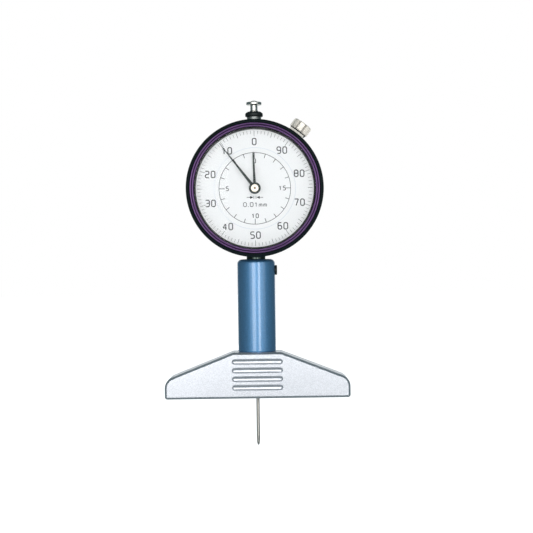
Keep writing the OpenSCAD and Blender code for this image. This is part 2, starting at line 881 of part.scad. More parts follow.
module short_pointer() {
    hub_t = 0.6;
    bore = sleeve_d + 2 * press_gap;
    color([0.08, 0.12, 0.10])
    on_dial() {
        slab(short_back - pointer_t, short_back) rotate(pointer_angle / counted_turns)
            hand(15.1, 1.05, 0.55, sleeve_d + 1.2, bore);
        tube_y(sleeve_d + 1.2, bore, short_back - 0.05, short_back + hub_t);
    }
}

module counter_sleeve() {
    color([0.80, 0.66, 0.36])
    on_dial() tube_y(sleeve_d, arbor_d + 2 * run_gap, sleeve_front, counter_back);
}

module counter_wheel() {
    color([0.83, 0.70, 0.40])
    on_dial() light_gear(counter_large, counter_m, mesh_angle + 180 + 180 / counter_large,
                         sleeve_d + 2 * press_gap, counter_front, counter_back);
}

// ---- Rack arbor and take-up ----

module rack_arbor() {
    color([0.62, 0.63, 0.66])
    on_rack_arbor() {
        rod_y(arbor_d, plate_front + 0.1, cock_back - 0.1);
        slab(-rack_half_w, rack_half_w) polygon(gear_outline(rack_teeth, rack_m, 0));
    }
}

module main_gear() {
    color([0.83, 0.70, 0.40])
    on_rack_arbor() light_gear(main_teeth, main_m, mesh_angle, arbor_d + 2 * press_gap,
                               gear_front, gear_back);
}

module counter_pinion() {
    color([0.76, 0.60, 0.30])
    on_rack_arbor() gear(counter_small, counter_m, mesh_angle, arbor_d + 2 * press_gap,
                         counter_front, counter_back);
}

module takeup_arbor() {
    color([0.62, 0.63, 0.66])
    on_takeup() rod_y(arbor_d, plate_front + 0.1, mid_back);
}

module takeup_gear() {
    color([0.83, 0.70, 0.40])
    on_takeup() light_gear(main_teeth, main_m, mesh_angle + 180, arbor_d + 2 * press_gap,
                           gear_front, gear_back);
}

module hairspring_collet() {
    color([0.76, 0.60, 0.30])
    on_takeup() tube_y(collet_d, arbor_d + 2 * press_gap, gear_back + 0.1, mid_front - 0.2);
}

// ---- Bezel clamp ----

module clamp_claw() {
    pad_t = claw_r - bezel_r;
    pad_back = skirt_back - 0.5;
    color([0.80, 0.80, 0.80])
    difference() {
        translate([0, -clamp_y, 0]) on_clamp() {
            translate([-claw_w / 2, claw_front, claw_r])
                cube([claw_w, claw_back - claw_front, claw_t]);
            translate([-claw_w / 2, claw_front, bezel_r - cut])
                cube([claw_w, pad_back - claw_front, pad_t + cut + 0.1]);
        }
        on_dial() rod_y(2 * (bezel_r + 0.06), claw_front - cut, pad_back + cut);
        on_clamp() rod_z(clamp_screw_d + 0.4, claw_r - cut, claw_r + claw_t + cut);
    }
}

module clamp_knob() {
    color([0.84, 0.83, 0.80])
    on_clamp() {
        rod_z(clamp_screw_d, clamp_screw_foot, knob_r + 0.1);
        rod_z(knob_neck_d, claw_r + claw_t + 0.05, knob_r + 0.1);
        translate([0, 0, knob_r]) linear_extrude(height = knob_h)
            difference() {
                circle(d = knob_d);
                for (i = [0 : flutes - 1])
                    rotate((i + 0.5) * 360 / flutes) translate([knob_d / 2 + 0.2, 0])
                        circle(d = flute_d, $fn = 24);
            }
    }
}

base_block();
grip_tube();
stem_set_screw();
case();
back_cover();
back_cover_screws();
lower_stem();
lower_bushing();
upper_stem();
upper_bush();
front_plate();
mid_plate();
plate_pillars();
movement_screws();
front_bush();
arbor_bushes();
rear_cock();
cock_pillars();
cock_screws();
guide_rod();
spring_post();
return_spring();
hairspring();
hairspring_stud();
bezel_spring_ring();
spindle();
lifting_cap();
guide_arm();
needle_holder();
needle();
bezel();
crystal();
crystal_seal();
dial_plate();
dial_retaining_ring();
centre_arbor();
long_pointer();
pointer_boss();
counter_wheel();
counter_sleeve();
short_pointer();
rack_arbor();
main_gear();
counter_pinion();
takeup_arbor();
takeup_gear();
hairspring_collet();
clamp_claw();
clamp_knob();
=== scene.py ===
import json
import math

import bmesh
import bpy
from mathutils import Matrix, Vector


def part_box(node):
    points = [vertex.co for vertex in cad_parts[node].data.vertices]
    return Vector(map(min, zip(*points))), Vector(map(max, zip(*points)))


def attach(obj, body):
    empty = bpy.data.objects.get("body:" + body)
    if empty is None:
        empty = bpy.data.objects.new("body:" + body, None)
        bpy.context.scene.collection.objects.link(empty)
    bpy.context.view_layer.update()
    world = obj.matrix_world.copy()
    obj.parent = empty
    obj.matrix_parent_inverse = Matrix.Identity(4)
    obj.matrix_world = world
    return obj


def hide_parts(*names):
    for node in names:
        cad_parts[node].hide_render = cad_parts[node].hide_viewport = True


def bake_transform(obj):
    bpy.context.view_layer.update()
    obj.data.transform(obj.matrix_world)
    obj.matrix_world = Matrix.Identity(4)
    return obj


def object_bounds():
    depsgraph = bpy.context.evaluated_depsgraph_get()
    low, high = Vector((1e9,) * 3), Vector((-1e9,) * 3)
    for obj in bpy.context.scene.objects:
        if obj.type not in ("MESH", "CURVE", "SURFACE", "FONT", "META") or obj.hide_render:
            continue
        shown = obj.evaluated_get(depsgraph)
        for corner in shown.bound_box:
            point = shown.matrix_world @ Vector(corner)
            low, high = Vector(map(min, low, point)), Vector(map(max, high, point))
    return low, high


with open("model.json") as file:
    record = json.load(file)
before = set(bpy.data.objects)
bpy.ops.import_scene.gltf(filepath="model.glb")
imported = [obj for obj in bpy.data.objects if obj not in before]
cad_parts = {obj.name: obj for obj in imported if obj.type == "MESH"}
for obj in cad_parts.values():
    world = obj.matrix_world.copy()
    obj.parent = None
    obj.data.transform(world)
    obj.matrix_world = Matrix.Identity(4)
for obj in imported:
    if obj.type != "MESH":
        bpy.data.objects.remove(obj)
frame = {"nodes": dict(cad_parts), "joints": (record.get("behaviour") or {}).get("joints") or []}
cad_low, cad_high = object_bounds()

# Lengths are millimetres, apart from the floor, lights and camera, which are in metres.
MM = 0.001
FINE = 192
MEDIUM = 96
SMALL = 48


def span(node):
    """A CAD node's lowest and highest corners, in millimetres."""
    low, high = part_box(node)
    return low / MM, high / MM


# ---- Places and sizes read from the frame ----

BASE_LOW, BASE_HIGH = span("base_block")
TUBE_LOW, TUBE_HIGH = span("grip_tube")
BEZEL_LOW, BEZEL_HIGH = span("bezel")
DIAL_LOW, DIAL_HIGH = span("dial_plate")
CASE_LOW, CASE_HIGH = span("case")
COVER_LOW, COVER_HIGH = span("back_cover")
CAP_LOW, CAP_HIGH = span("lifting_cap")
STEM_LOW, STEM_HIGH = span("lower_stem")
COLLAR_LOW, COLLAR_HIGH = span("upper_stem")
NEEDLE_LOW, NEEDLE_HIGH = span("needle")
SEAL_LOW, SEAL_HIGH = span("crystal_seal")
CRYSTAL_LOW, CRYSTAL_HIGH = span("crystal")
LONG_LOW, LONG_HIGH = span("long_pointer")
SHORT_LOW, SHORT_HIGH = span("short_pointer")
BOSS_LOW, BOSS_HIGH = span("pointer_boss")
SCREW_LOW, SCREW_HIGH = span("stem_set_screw")
SPRING_LOW, SPRING_HIGH = span("return_spring")

DIAL_Z = (BEZEL_LOW.z + BEZEL_HIGH.z) / 2
BEZEL_R = (BEZEL_HIGH.x - BEZEL_LOW.x) / 2
CASE_R = (COVER_HIGH.x - COVER_LOW.x) / 2
DIAL_CENTRE = Vector((0, 0, DIAL_Z))
DIAL_FACE = DIAL_LOW.y
CLAMP = next(j for j in frame["joints"] if j["name"] == "clamp_slide")
CLAMP_OUT = Vector(CLAMP["axis"]).normalized()
CLAMP_Y = sum(v.y for v in span("clamp_knob")) / 2


# ---- Mesh helpers ----

def fillet(corners, closed=True, arcs=5):
    """Rounds each corner (x, y, radius) of an outline and returns its points."""
    points = []
    count = len(corners)
    for i, (x, y, radius) in enumerate(corners):
        corner = Vector((x, y))
        if radius <= 0 or (not closed and i in (0, count - 1)):
            points.append(corner)
            continue
        back = Vector(corners[i - 1][:2]) - corner
        ahead = Vector(corners[(i + 1) % count][:2]) - corner
        half = back.angle(ahead) / 2
        reach = min(radius / math.tan(half), 0.49 * back.length, 0.49 * ahead.length)
        middle = (back.normalized() + ahead.normalized()).normalized()
        centre = corner + middle * reach / math.cos(half)
        start = corner + back.normalized() * reach - centre
        end = corner + ahead.normalized() * reach - centre
        first = math.atan2(start.y, start.x)
        turn = math.atan2(end.y, end.x) - first
        turn = (turn + math.pi) % (2 * math.pi) - math.pi
        for k in range(arcs + 1):
            a = first + turn * k / arcs
            points.append(centre + start.length * Vector((math.cos(a), math.sin(a))))
    return points


def add_object(name, bm, materials=()):
    bmesh.ops.recalc_face_normals(bm, faces=bm.faces)
    mesh = bpy.data.meshes.new(name)
    bm.to_mesh(mesh)
    bm.free()
    for m in materials:
        mesh.materials.append(m)
    obj = bpy.data.objects.new(name, mesh)
    bpy.context.scene.collection.objects.link(obj)
    return obj


def bake_modifiers(obj):
    """Replaces the mesh by what its modifiers make of it."""
    graph = bpy.context.evaluated_depsgraph_get()
    mesh = bpy.data.meshes.new_from_object(obj.evaluated_get(graph))
    mesh.name = obj.name
    obj.modifiers.clear()
    obj.data = mesh
    return obj


def shade(obj, angle=35):
    """Smooth shading that keeps corners sharper than the angle and flats flat."""
    obj.data.shade_smooth()
    obj.data.set_sharp_from_angle(angle=math.radians(angle))
    weighted = obj.modifiers.new("weighted", "WEIGHTED_NORMAL")
    weighted.keep_sharp = True
    return bake_modifiers(obj)


def cut(obj, cutters):
    """Takes the cutters' shapes out of the object and removes them."""
    for cutter in cutters:
        modifier = obj.modifiers.new("cut", "BOOLEAN")
        modifier.operation = "DIFFERENCE"
        modifier.solver = "EXACT"
        modifier.object = cutter
    bake_modifiers(obj)
    for cutter in cutters:
        bpy.data.objects.remove(cutter)
    return obj


def join_shapes(obj, others):
    for other in others:
        modifier = obj.modifiers.new("join", "BOOLEAN")
        modifier.operation = "UNION"
        modifier.solver = "EXACT"
        modifier.object = other
    bake_modifiers(obj)
    for other in others:
        bpy.data.objects.remove(other)
    return obj


def lathe(name, profile, frame_of, materials=(), steps=MEDIUM, closed=False,
          wave=None, paint=None):
    """Turns (radius, along) points about an axis.

    frame_of maps local x, y, z, with z along the axis, to the row frame.
    wave(angle, radius, along) adds to the radius, and paint(radius, along) picks a material."""
    bm = bmesh.new()
    rings = []
    for radius, along in profile:
        if radius < 1e-6:
            rings.append([bm.verts.new(frame_of @ Vector((0, 0, along)) * MM)])
            continue
        ring = []
        for k in range(steps):
            a = 2 * math.pi * k / steps
            r = radius + (wave(a, radius, along) if wave else 0)
            ring.append(bm.verts.new(
                frame_of @ Vector((r * math.cos(a), r * math.sin(a), along)) * MM))
        rings.append(ring)
    pairs = list(zip(profile, profile[1:], rings, rings[1:]))
    if closed:
        pairs.append((profile[-1], profile[0], rings[-1], rings[0]))
    for here, there, one, two in pairs:
        index = paint((here[0] + there[0]) / 2, (here[1] + there[1]) / 2) if paint else 0
        for k in range(steps):
            n = (k + 1) % steps
            corners = [one[k % len(one)], one[n % len(one)], two[n % len(two)], two[k % len(two)]]
            corners = list(dict.fromkeys(corners))
            if len(corners) > 2:
                bm.faces.new(corners).material_index = index
    return add_object(name, bm, materials)


def upright(x=0, y=0, z=0):
    return Matrix.Translation((x, y, z))


def facing(x=0, z=0):
    """Axis along +Y, through a point of the front view: local x and y read as x and -z."""
    return Matrix.Translation((x, 0, z)) @ Matrix.Rotation(math.radians(-90), 4, "X")


def outward():
    """Axis along the clamp screw, measured from the dial's centre."""
    turn = math.atan2(CLAMP_OUT.x, CLAMP_OUT.z)
    return Matrix.Translation((0, CLAMP_Y, DIAL_Z)) @ Matrix.Rotation(turn, 4, "Y")


def prism(name, outline, front, back, materials=(), edge=0.0, place=None):
    """A plate with a front-view outline (x, z) between two depths, with bevelled rims."""
    place = place or Matrix.Identity(4)
    bm = bmesh.new()
    low = [bm.verts.new(place @ Vector((p[0], front, p[1])) * MM) for p in outline]
    high = [bm.verts.new(place @ Vector((p[0], back, p[1])) * MM) for p in outline]
    faces = [bm.faces.new(low), bm.faces.new(high[::-1])]
    for k in range(len(outline)):
        n = (k + 1) % len(outline)
        bm.faces.new([low[k], high[k], high[n], low[n]])
    if edge:
        rims = {e for f in faces for e in f.edges}
        bmesh.ops.bevel(bm, geom=list(rims), offset=edge * MM, segments=2, affect="EDGES",
                        profile=0.5, clamp_overlap=True)
    return add_object(name, bm, materials)


def drill(radius, near, far, place, steps=MEDIUM):
    """A cutter for a round hole along local z between two distances."""
    return lathe("drill", [(0, near), (radius, near), (radius, far), (0, far)], place,
                 steps=steps)


def circle_points(radius, steps):
    return [(radius * math.cos(2 * math.pi * k / steps),
             radius * math.sin(2 * math.pi * k / steps)) for k in range(steps)]


def put(obj, body, slot, *nodes):
    """Gives a finished piece its body and hides the CAD nodes it stands for; the material slot is
    not used.
    """
    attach(obj, body)
    if nodes:
        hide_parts(*nodes)
    return obj


# ---- Materials ----

class Shader:
    """One node material, with short calls for the nodes that the finishes share."""

    def __init__(self, name, colour, roughness, metallic=0.0, **settings):
        self.material = bpy.data.materials.new(name)
        self.material.use_nodes = True
        self.nodes = self.material.node_tree.nodes
        self.links = self.material.node_tree.links
        self.shader = self.nodes["Principled BSDF"]
        self.colour = colour
        self.shader.inputs["Base Color"].default_value = (*colour, 1)
        self.shader.inputs["Roughness"].default_value = roughness
        self.shader.inputs["Metallic"].default_value = metallic
        for socket, value in settings.items():
            self.shader.inputs[socket.replace("_", " ")].default_value = value
        self.where = self.nodes.new("ShaderNodeTexCoord").outputs["Object"]
        self.bump_out = None

    def node(self, kind, inputs=None, **fields):
        made = self.nodes.new(kind)
        for field, value in fields.items():
            setattr(made, field, value)
        for key, value in (inputs or {}).items():
            if isinstance(value, bpy.types.NodeSocket):
                self.links.new(value, made.inputs[key])
            else:
                made.inputs[key].default_value = value
        return made

    def noise(self, scale, detail=4.0, stretch=(1, 1, 1)):
        moved = self.node("ShaderNodeMapping", {"Vector": self.where, "Scale": stretch})
        return self.node("ShaderNodeTexNoise", {
            "Vector": moved.outputs[0], "Scale": scale, "Detail": detail}).outputs["Fac"]

    def flakes(self, scale):
        """Small cells, each with a value of its own."""
        cells = self.node("ShaderNodeTexVoronoi", {"Vector": self.where, "Scale": scale})
        return self.node("ShaderNodeSeparateColor", {0: cells.outputs["Color"]}).outputs[0]

    def turned(self, scale, centre, axis):
        """Fine lines that a lathe leaves, about an axis along Y or Z."""
        moved = self.node("ShaderNodeVectorMath", {0: self.where, 1: centre},
                          operation="SUBTRACT")
        parts = self.node("ShaderNodeSeparateXYZ", {0: moved.outputs[0]})
        other, along = ("Z", "Y") if axis == "Y" else ("Y", "Z")
        flat = self.node("ShaderNodeCombineXYZ", {
            "X": parts.outputs["X"], "Y": parts.outputs[other]})
        radius = self.node("ShaderNodeVectorMath", {0: flat.outputs[0]}, operation="LENGTH")
        both = self.node("ShaderNodeMath", {
            0: radius.outputs["Value"], 1: parts.outputs[along]}, operation="ADD")
        return self.node("ShaderNodeTexNoise", {
            "W": both.outputs[0], "Scale": scale, "Detail": 3.0},
            noise_dimensions="1D").outputs["Fac"]

    def spread(self, source, low, high):
        return self.node("ShaderNodeMapRange", {
            "Value": source, "From Min": 0.25, "From Max": 0.75,
            "To Min": low, "To Max": high}).outputs[0]

    def tint(self, source, darker, lighter):
        """Varies the base colour between two multiples of it."""
        mix = self.node("ShaderNodeMix", {"Factor": source}, data_type="RGBA")
        mix.inputs["A"].default_value = (*[c * darker for c in self.colour], 1)
        mix.inputs["B"].default_value = (*[min(c * lighter, 1) for c in self.colour], 1)
        self.links.new(mix.outputs["Result"], self.shader.inputs["Base Color"])
        return self

    def gloss(self, source, low, high):
        self.links.new(self.spread(source, low, high), self.shader.inputs["Roughness"])
        return self

    def bump(self, source, height, strength=1.0):
        inputs = {"Height": source, "Distance": height * MM, "Strength": strength}
        if self.bump_out:
            inputs["Normal"] = self.bump_out
        self.bump_out = self.node("ShaderNodeBump", inputs).outputs[0]
        self.links.new(self.bump_out, self.shader.inputs["Normal"])
        return self


DIAL_AXIS = tuple(DIAL_CENTRE * MM)
STEM_AXIS = (0, 0, 0)


def sprayed_silver():
    s = Shader("satin_silver", (0.72, 0.725, 0.765), 0.36, 0.92)
    s.tint(s.flakes(4200), 0.86, 1.12)
    s.gloss(s.noise(2600), 0.30, 0.42)
    return s.bump(s.noise(3800, 2), 0.006).material


def metallic_blue():
    s = Shader("blue_anodised", (0.125, 0.330, 0.595), 0.56, 0.95,
               Coat_Weight=1.0, Coat_Roughness=0.16, Coat_IOR=1.75)
    s.tint(s.flakes(5200), 0.88, 1.12)
    s.gloss(s.noise(900), 0.54, 0.60)
    return s.bump(s.turned(26000, STEM_AXIS, "Z"), 0.003).material


def anodised_band():
    s = Shader("purple_anodised", (0.190, 0.098, 0.245), 0.30, 0.85)
    s.tint(s.noise(700), 0.88, 1.12)
    s.gloss(s.turned(15000, DIAL_AXIS, "Y"), 0.24, 0.38)
    return s.bump(s.turned(18000, DIAL_AXIS, "Y"), 0.006).material


def anodised_rim():
    s = Shader("black_anodised", (0.003, 0.006, 0.007), 0.42, 0.0,
               Specular_IOR_Level=0.08)
    s.tint(s.noise(900), 0.7, 1.6)
    s.gloss(s.turned(14000, DIAL_AXIS, "Y"), 0.36, 0.50)
    return s.bump(s.turned(14000, DIAL_AXIS, "Y"), 0.004).material


def turned_metal(name, colour, low, high, centre, axis, height=0.004, scale=17000):
    s = Shader(name, colour, low, 1.0)
    s.tint(s.noise(1100), 0.93, 1.05)
    s.gloss(s.turned(scale * 0.7, centre, axis), low, high)
    return s.bump(s.turned(scale, centre, axis), height).material


def plain_metal(name, colour, low, high, height=0.003):
    s = Shader(name, colour, low, 1.0)
    s.tint(s.noise(1500), 0.9, 1.06)
    s.gloss(s.noise(2200), low, high)
    return s.bump(s.noise(3500, 6, (1, 1, 0.15)), height).material


def black_oxide():
    s = Shader("black_oxide", (0.010, 0.014, 0.014), 0.42, 0.3, Specular_IOR_Level=0.25)
    s.tint(s.noise(1600), 0.7, 1.7)
    s.gloss(s.noise(2400), 0.36, 0.52)
    return s.bump(s.noise(4200), 0.004).material


def satin_case():
    s = Shader("case_grey", (0.235, 0.25, 0.24), 0.42, 0.9)
    s.tint(s.noise(900), 0.92, 1.06)
    s.gloss(s.turned(9000, DIAL_AXIS, "Y"), 0.36, 0.48)
    return s.bump(s.turned(16000, DIAL_AXIS, "Y"), 0.004).material


def dial_white_painted_glow():
    # The emission is painted light: the dial glows a little, so the shade that the bezel casts
    # near its rim fades.
    s = Shader("dial_white", (0.555, 0.555, 0.555), 0.42, 0.0, Specular_IOR_Level=0.35,
               Emission_Color=(1, 1, 1, 1), Emission_Strength=0.27)
    s.tint(s.noise(500), 0.985, 1.01)
    s.gloss(s.noise(1400), 0.38, 0.48)
    return s.bump(s.noise(5200), 0.0015).material


def printing_ink(name, colour):
    s = Shader(name, colour, 0.55, 0.0)
    s.tint(s.noise(3200), 0.85, 1.25)
    s.gloss(s.noise(4000), 0.5, 0.62)
    return s.material


def pointer_paint():
    s = Shader("pointer_black", (0.012, 0.020, 0.018), 0.36, 0.2)
    s.tint(s.noise(2200), 0.8, 1.3)
    s.gloss(s.noise(3000), 0.3, 0.42)
    return s.bump(s.noise(5200), 0.002).material


def clear_plastic():
    s = Shader("clear_crystal", (0.985, 0.99, 0.995), 0.02, 0.0,
               Transmission_Weight=1.0, IOR=1.18)
    s.gloss(s.noise(700), 0.005, 0.03)
    return s.material


def satin_nickel():
    s = Shader("knob_nickel", (0.82, 0.76, 0.68), 0.40, 0.25)
    s.tint(s.noise(1500), 0.94, 1.05)
    s.gloss(s.noise(2200), 0.36, 0.46)
    return s.bump(s.noise(3500, 6), 0.002).material


def seal_rubber():
    s = Shader("black_rubber", (0.012, 0.012, 0.014), 0.6, 0.0)
    s.tint(s.noise(2400), 0.7, 1.5)
    s.gloss(s.noise(2600), 0.5, 0.68)
    return s.bump(s.noise(4200), 0.006).material


SILVER = sprayed_silver()
BLUE = metallic_blue()
PURPLE = anodised_band()
RIM_BLACK = anodised_rim()
OXIDE = black_oxide()
CASE_METAL = satin_case()
GLOWING_DIAL_WHITE = dial_white_painted_glow()
INK = printing_ink("dial_ink", (0.022, 0.022, 0.026))
PALE_INK = printing_ink("dial_pale_ink", (0.62, 0.65, 0.70))
HAND_PAINT = pointer_paint()
CRYSTAL = clear_plastic()
RUBBER = seal_rubber()
NICKEL = turned_metal("nickel", (0.70, 0.68, 0.63), 0.22, 0.34, STEM_AXIS, "Z")
KNOB_NICKEL = satin_nickel()
CLAW_STEEL = plain_metal("claw_steel", (0.34, 0.325, 0.30), 0.28, 0.38)
STEEL = plain_metal("steel", (0.62, 0.63, 0.64), 0.20, 0.34)
# Near black: partly the stem's blackened steel, partly painted shade of the narrow gap between
# the case and the grip where it shows.
STEM_BLACK = turned_metal("stem_black", (0.050, 0.066, 0.060), 0.10, 0.16, STEM_AXIS, "Z")
NEEDLE_STEEL = turned_metal("needle_steel", (0.66, 0.61, 0.56), 0.36, 0.48, STEM_AXIS, "Z",
                            0.003, 24000)
WIRE = plain_metal("spring_steel", (0.55, 0.56, 0.58), 0.22, 0.36)
BLUED = plain_metal("blued_steel", (0.06, 0.09, 0.24), 0.24, 0.34)
BRASS = turned_metal("brass", (0.78, 0.57, 0.25), 0.22, 0.36, DIAL_AXIS, "Y", 0.004, 12000)
BRONZE = plain_metal("bronze", (0.62, 0.42, 0.20), 0.25, 0.40)
CREAM_METAL = plain_metal("cream_metal", (0.80, 0.70, 0.58), 0.34, 0.46)
ARBOR_STEEL = plain_metal("arbor_steel", (0.16, 0.12, 0.09), 0.26, 0.38)


# ---- Base and grip ----

def base_ring(inset):
    """The base's front outline, drawn in by an inset all round, corner by corner."""
    half = BASE_HIGH.x
    top_half = 10.2
    end_height = 8.0
    foot_r, end_r, top_r = 1.1, 5.0, 2.0
    slope = math.atan2(BASE_HIGH.z - end_height, half - top_half)
    shrink = math.tan(slope / 2)
    lean = math.tan((math.pi / 2 - slope) / 2)
    corners = [
        (half - inset, inset, foot_r - inset),
        (half - inset, end_height - inset * lean, end_r - inset),
        (top_half - inset * shrink, BASE_HIGH.z - inset, top_r - inset * 0.5),
    ]
    return corners + [(-x, z, r) for x, z, r in reversed(corners)]


def measuring_base():
    """Sprayed block with chamfered rims, four scooped grooves and the needle's hole."""
    chamfer, soft = 0.9, 0.14
    low, high = BASE_LOW.y, BASE_HIGH.y
    rim = fillet([(chamfer + 1, low, 0), (chamfer, low, soft), (0, low + chamfer, soft),
                  (0, low + chamfer + 1, 0)], closed=False, arcs=3)[1:-1]
    layers = [(p.x, p.y) for p in rim] + [(p.x, low + high - p.y) for p in reversed(rim)]
    bm = bmesh.new()
    rings = []
    for inset, y in layers:
        outline = fillet(base_ring(inset), arcs=10)
        rings.append([bm.verts.new(Vector((p.x, y, p.y)) * MM) for p in outline])
    for one, two in zip(rings, rings[1:]):
        for k in range(len(one)):
            n = (k + 1) % len(one)
            bm.faces.new([one[k], one[n], two[n], two[k]])
    bm.faces.new(rings[0])
    bm.faces.new(rings[-1][::-1])
    base = add_object("measuring_base", bm, [SILVER])
    cut(base, groove_cutters() + [needle_bore()])
    put(shade(base, 32), "root", "satin_silver", "base_block")


def groove_cutters():
    length, height, depth = 21.3, 2.45, 0.6
    first_z, pitch, count = 4.6, 3.6, 4
    radius = (height ** 2 / 4 + depth ** 2) / (2 * depth)
    straight = (length - height) / 2
    turns = 12
    half = [(radius * math.cos(a), straight + radius * math.sin(a))
            for a in [math.pi / 2 * k / turns for k in range(turns + 1)]]
    profile = [(r, -x) for r, x in reversed(half)] + half
    across = Matrix.Rotation(math.radians(90), 4, "Y")
    cutters = []
    for i in range(count):
        centre = Vector((0, BASE_LOW.y + depth - radius, first_z + i * pitch))
        cutters.append(lathe("groove", profile, Matrix.Translation(centre) @ across,
                             steps=SMALL * 2))
    return cutters


def needle_bore():
    seat_r, inner_r, hole_r = 6.01, 3.5, 1.3
    seat_z, hole_z, chamfer = TUBE_LOW.z - 0.1, 4.0, 0.25
    top = BASE_HIGH.z + 1
    profile = [(0, -1), (hole_r + chamfer + 1, -1), (hole_r, chamfer), (hole_r, hole_z),
               (inner_r, hole_z), (inner_r, seat_z), (seat_r, seat_z), (seat_r, top), (0, top)]
    return lathe("needle_bore", profile, upright(), steps=MEDIUM)


def grip():
    outer, seat_r = TUBE_HIGH.x, 6.0
    bore_top, bore_low, step_z = 4.01, 4.5, 38.9
    top, foot = TUBE_HIGH.z, BASE_HIGH.z
    profile = fillet([
        (bore_low, TUBE_LOW.z, 0.1), (seat_r, TUBE_LOW.z, 0.3), (seat_r, foot, 0),
        (outer, foot, 0.5), (outer, top, 1.9), (bore_top, top, 0.2), (bore_top, step_z, 0),
        (bore_low, step_z, 0)], arcs=7)
    tube = lathe("grip_sleeve", profile, upright(), [BLUE], FINE, closed=True)
    hole_z = (SCREW_LOW.z + SCREW_HIGH.z) / 2
    hole_r = (SCREW_HIGH.z - SCREW_LOW.z) / 2 + 0.03
    sideways = Matrix.Translation((0, 0, hole_z)) @ Matrix.Rotation(math.radians(90), 4, "Y")
    cut(tube, [drill(hole_r, 1, outer + 1, sideways, SMALL)])
    put(shade(tube), "root", "blue_anodised", "grip_tube")


def set_screw():
    centre_z = (SCREW_LOW.z + SCREW_HIGH.z) / 2
    radius = (SCREW_HIGH.z - SCREW_LOW.z) / 2
    near, far = SCREW_LOW.x, SCREW_HIGH.x
    socket_r, socket_depth, socket_sides = 1.12, 1.6, 6
    sideways = Matrix.Translation((0, 0, centre_z)) @ Matrix.Rotation(math.radians(90), 4, "Y")
    profile = fillet([(0, near, 0), (radius - 0.6, near, 0), (radius, near + 0.6, 0.1),
                      (radius, far, 0.28), (socket_r + 0.12, far, 0.05),
                      (0, far - 0.1, 0)], closed=False)
    screw = lathe("stem_grub_screw", profile, sideways, [OXIDE], SMALL)
    cut(screw, [drill(socket_r, far - socket_depth, far + 1, sideways, socket_sides)])
    put(shade(screw), "root", "black_steel", "stem_set_screw")


def stem():
    radius, thread_r, bore_r = 4.0, 3.4, 3.1
    shoulder = CASE_LOW.z
    profile = fillet([
        (bore_r, STEM_LOW.z, 0.1), (radius, STEM_LOW.z, 0.2), (radius, shoulder, 0.15),
        (thread_r, shoulder, 0), (thread_r, STEM_HIGH.z, 0.2), (bore_r, STEM_HIGH.z, 0)])
    piece = lathe("stem_barrel", profile, upright(), [STEM_BLACK], FINE, closed=True)
    put(shade(piece), "root", "black_steel", "lower_stem")


def probe_needle():
    radius = NEEDLE_HIGH.x
    tip_r, shoulder_r = radius * 0.46, radius * 0.86
    tip_len, taper_len = 1.1, 3.52
    low, high = NEEDLE_LOW.z, NEEDLE_HIGH.z
    profile = fillet([
        (0, low, 0), (tip_r, low, 0.18), (shoulder_r, low + tip_len, 0.6),
        (radius, low + taper_len, 2), (radius, high, 0.1), (0, high, 0)], closed=False, arcs=6)
    piece = lathe("probe_needle", profile, upright(), [NEEDLE_STEEL], SMALL)
    put(shade(piece), "spindle", "needle_steel", "needle")


# ---- Case, top stem and cap ----

# Holes through the case's wall are drilled between these distances from the dial's centre.
WALL_INSIDE = 20
WALL_OUTSIDE = 40


def gauge_case():
    """Turned cup with a flared top boss, a foot for the stem and a boss for the clamp."""
    spigot_r, inner_r = 26.2, 24.5
    web_front, web_back, shoulder = CASE_LOW.y, -7.8, -5.8
    back = COVER_HIGH.y - 1.2
    groove_y, groove_r = -7.2, spigot_r - 0.4
    bush_r = 2.51
    profile = fillet([
        (bush_r, web_front, 0), (spigot_r, web_front, 0.15), (spigot_r, groove_y - 0.4, 0),
        (groove_r, groove_y - 0.4, 0), (groove_r, groove_y + 0.4, 0),
        (spigot_r, groove_y + 0.4, 0), (spigot_r, shoulder, 0), (CASE_R, shoulder, 0.3),
        (CASE_R, back, 0.1), (inner_r, back, 0), (inner_r, web_back, 0), (bush_r, web_back, 0)])
    cup = lathe("gauge_case", profile, facing(0, DIAL_Z), [CASE_METAL], FINE, closed=True)
    inside = inner_r + 0.6
    boss_r, boss_top, flare = 3.0, CASE_HIGH.z - DIAL_Z, 2.0
    bore_r = 2.31
    boss = fillet([
        (0, inside, 0), (boss_r + flare, inside, 0), (boss_r + flare, CASE_R - 0.4, 0),
        (boss_r, CASE_R + 1.0, 2.4), (boss_r, boss_top, 0.12), (0, boss_top, 0)],
        closed=False, arcs=8)
    top_boss = lathe("boss", boss, upright(0, 0, DIAL_Z), [CASE_METAL], MEDIUM)
    foot_r, foot_low, thread_r = 5.5, DIAL_Z - CASE_LOW.z, 3.41
    foot = fillet([(0, -foot_low, 0), (foot_r, -foot_low, 0.3), (foot_r, -inside, 0),
                   (0, -inside, 0)], closed=False)
    low_boss = lathe("foot", foot, upright(0, 0, DIAL_Z), [CASE_METAL], MEDIUM)
    clamp_r, clamp_top, shank_r = 3.2, BEZEL_R + 0.4, 1.6
    side = fillet([(0, inside, 0), (clamp_r, inside, 0), (clamp_r, clamp_top, 0.12),
                   (0, clamp_top, 0)], closed=False)
    side_boss = lathe("clamp_boss", side, outward(), [CASE_METAL], MEDIUM)
    join_shapes(cup, [top_boss, low_boss, side_boss])
    up = upright(0, 0, DIAL_Z)
    cut(cup, [drill(bore_r, WALL_INSIDE, WALL_OUTSIDE, up),
              drill(thread_r, -WALL_OUTSIDE, -WALL_INSIDE, up),
              drill(shank_r, WALL_INSIDE, WALL_OUTSIDE, outward())])
    put(shade(cup), "root", "case_grey", "case")


def cover_screw_places():
    ring_r = (24.5 + CASE_R) / 2 - 0.35
    return [(ring_r * math.cos(math.radians(a)), DIAL_Z + ring_r * math.sin(math.radians(a)))
            for a in (45, 135, 225, 315)]


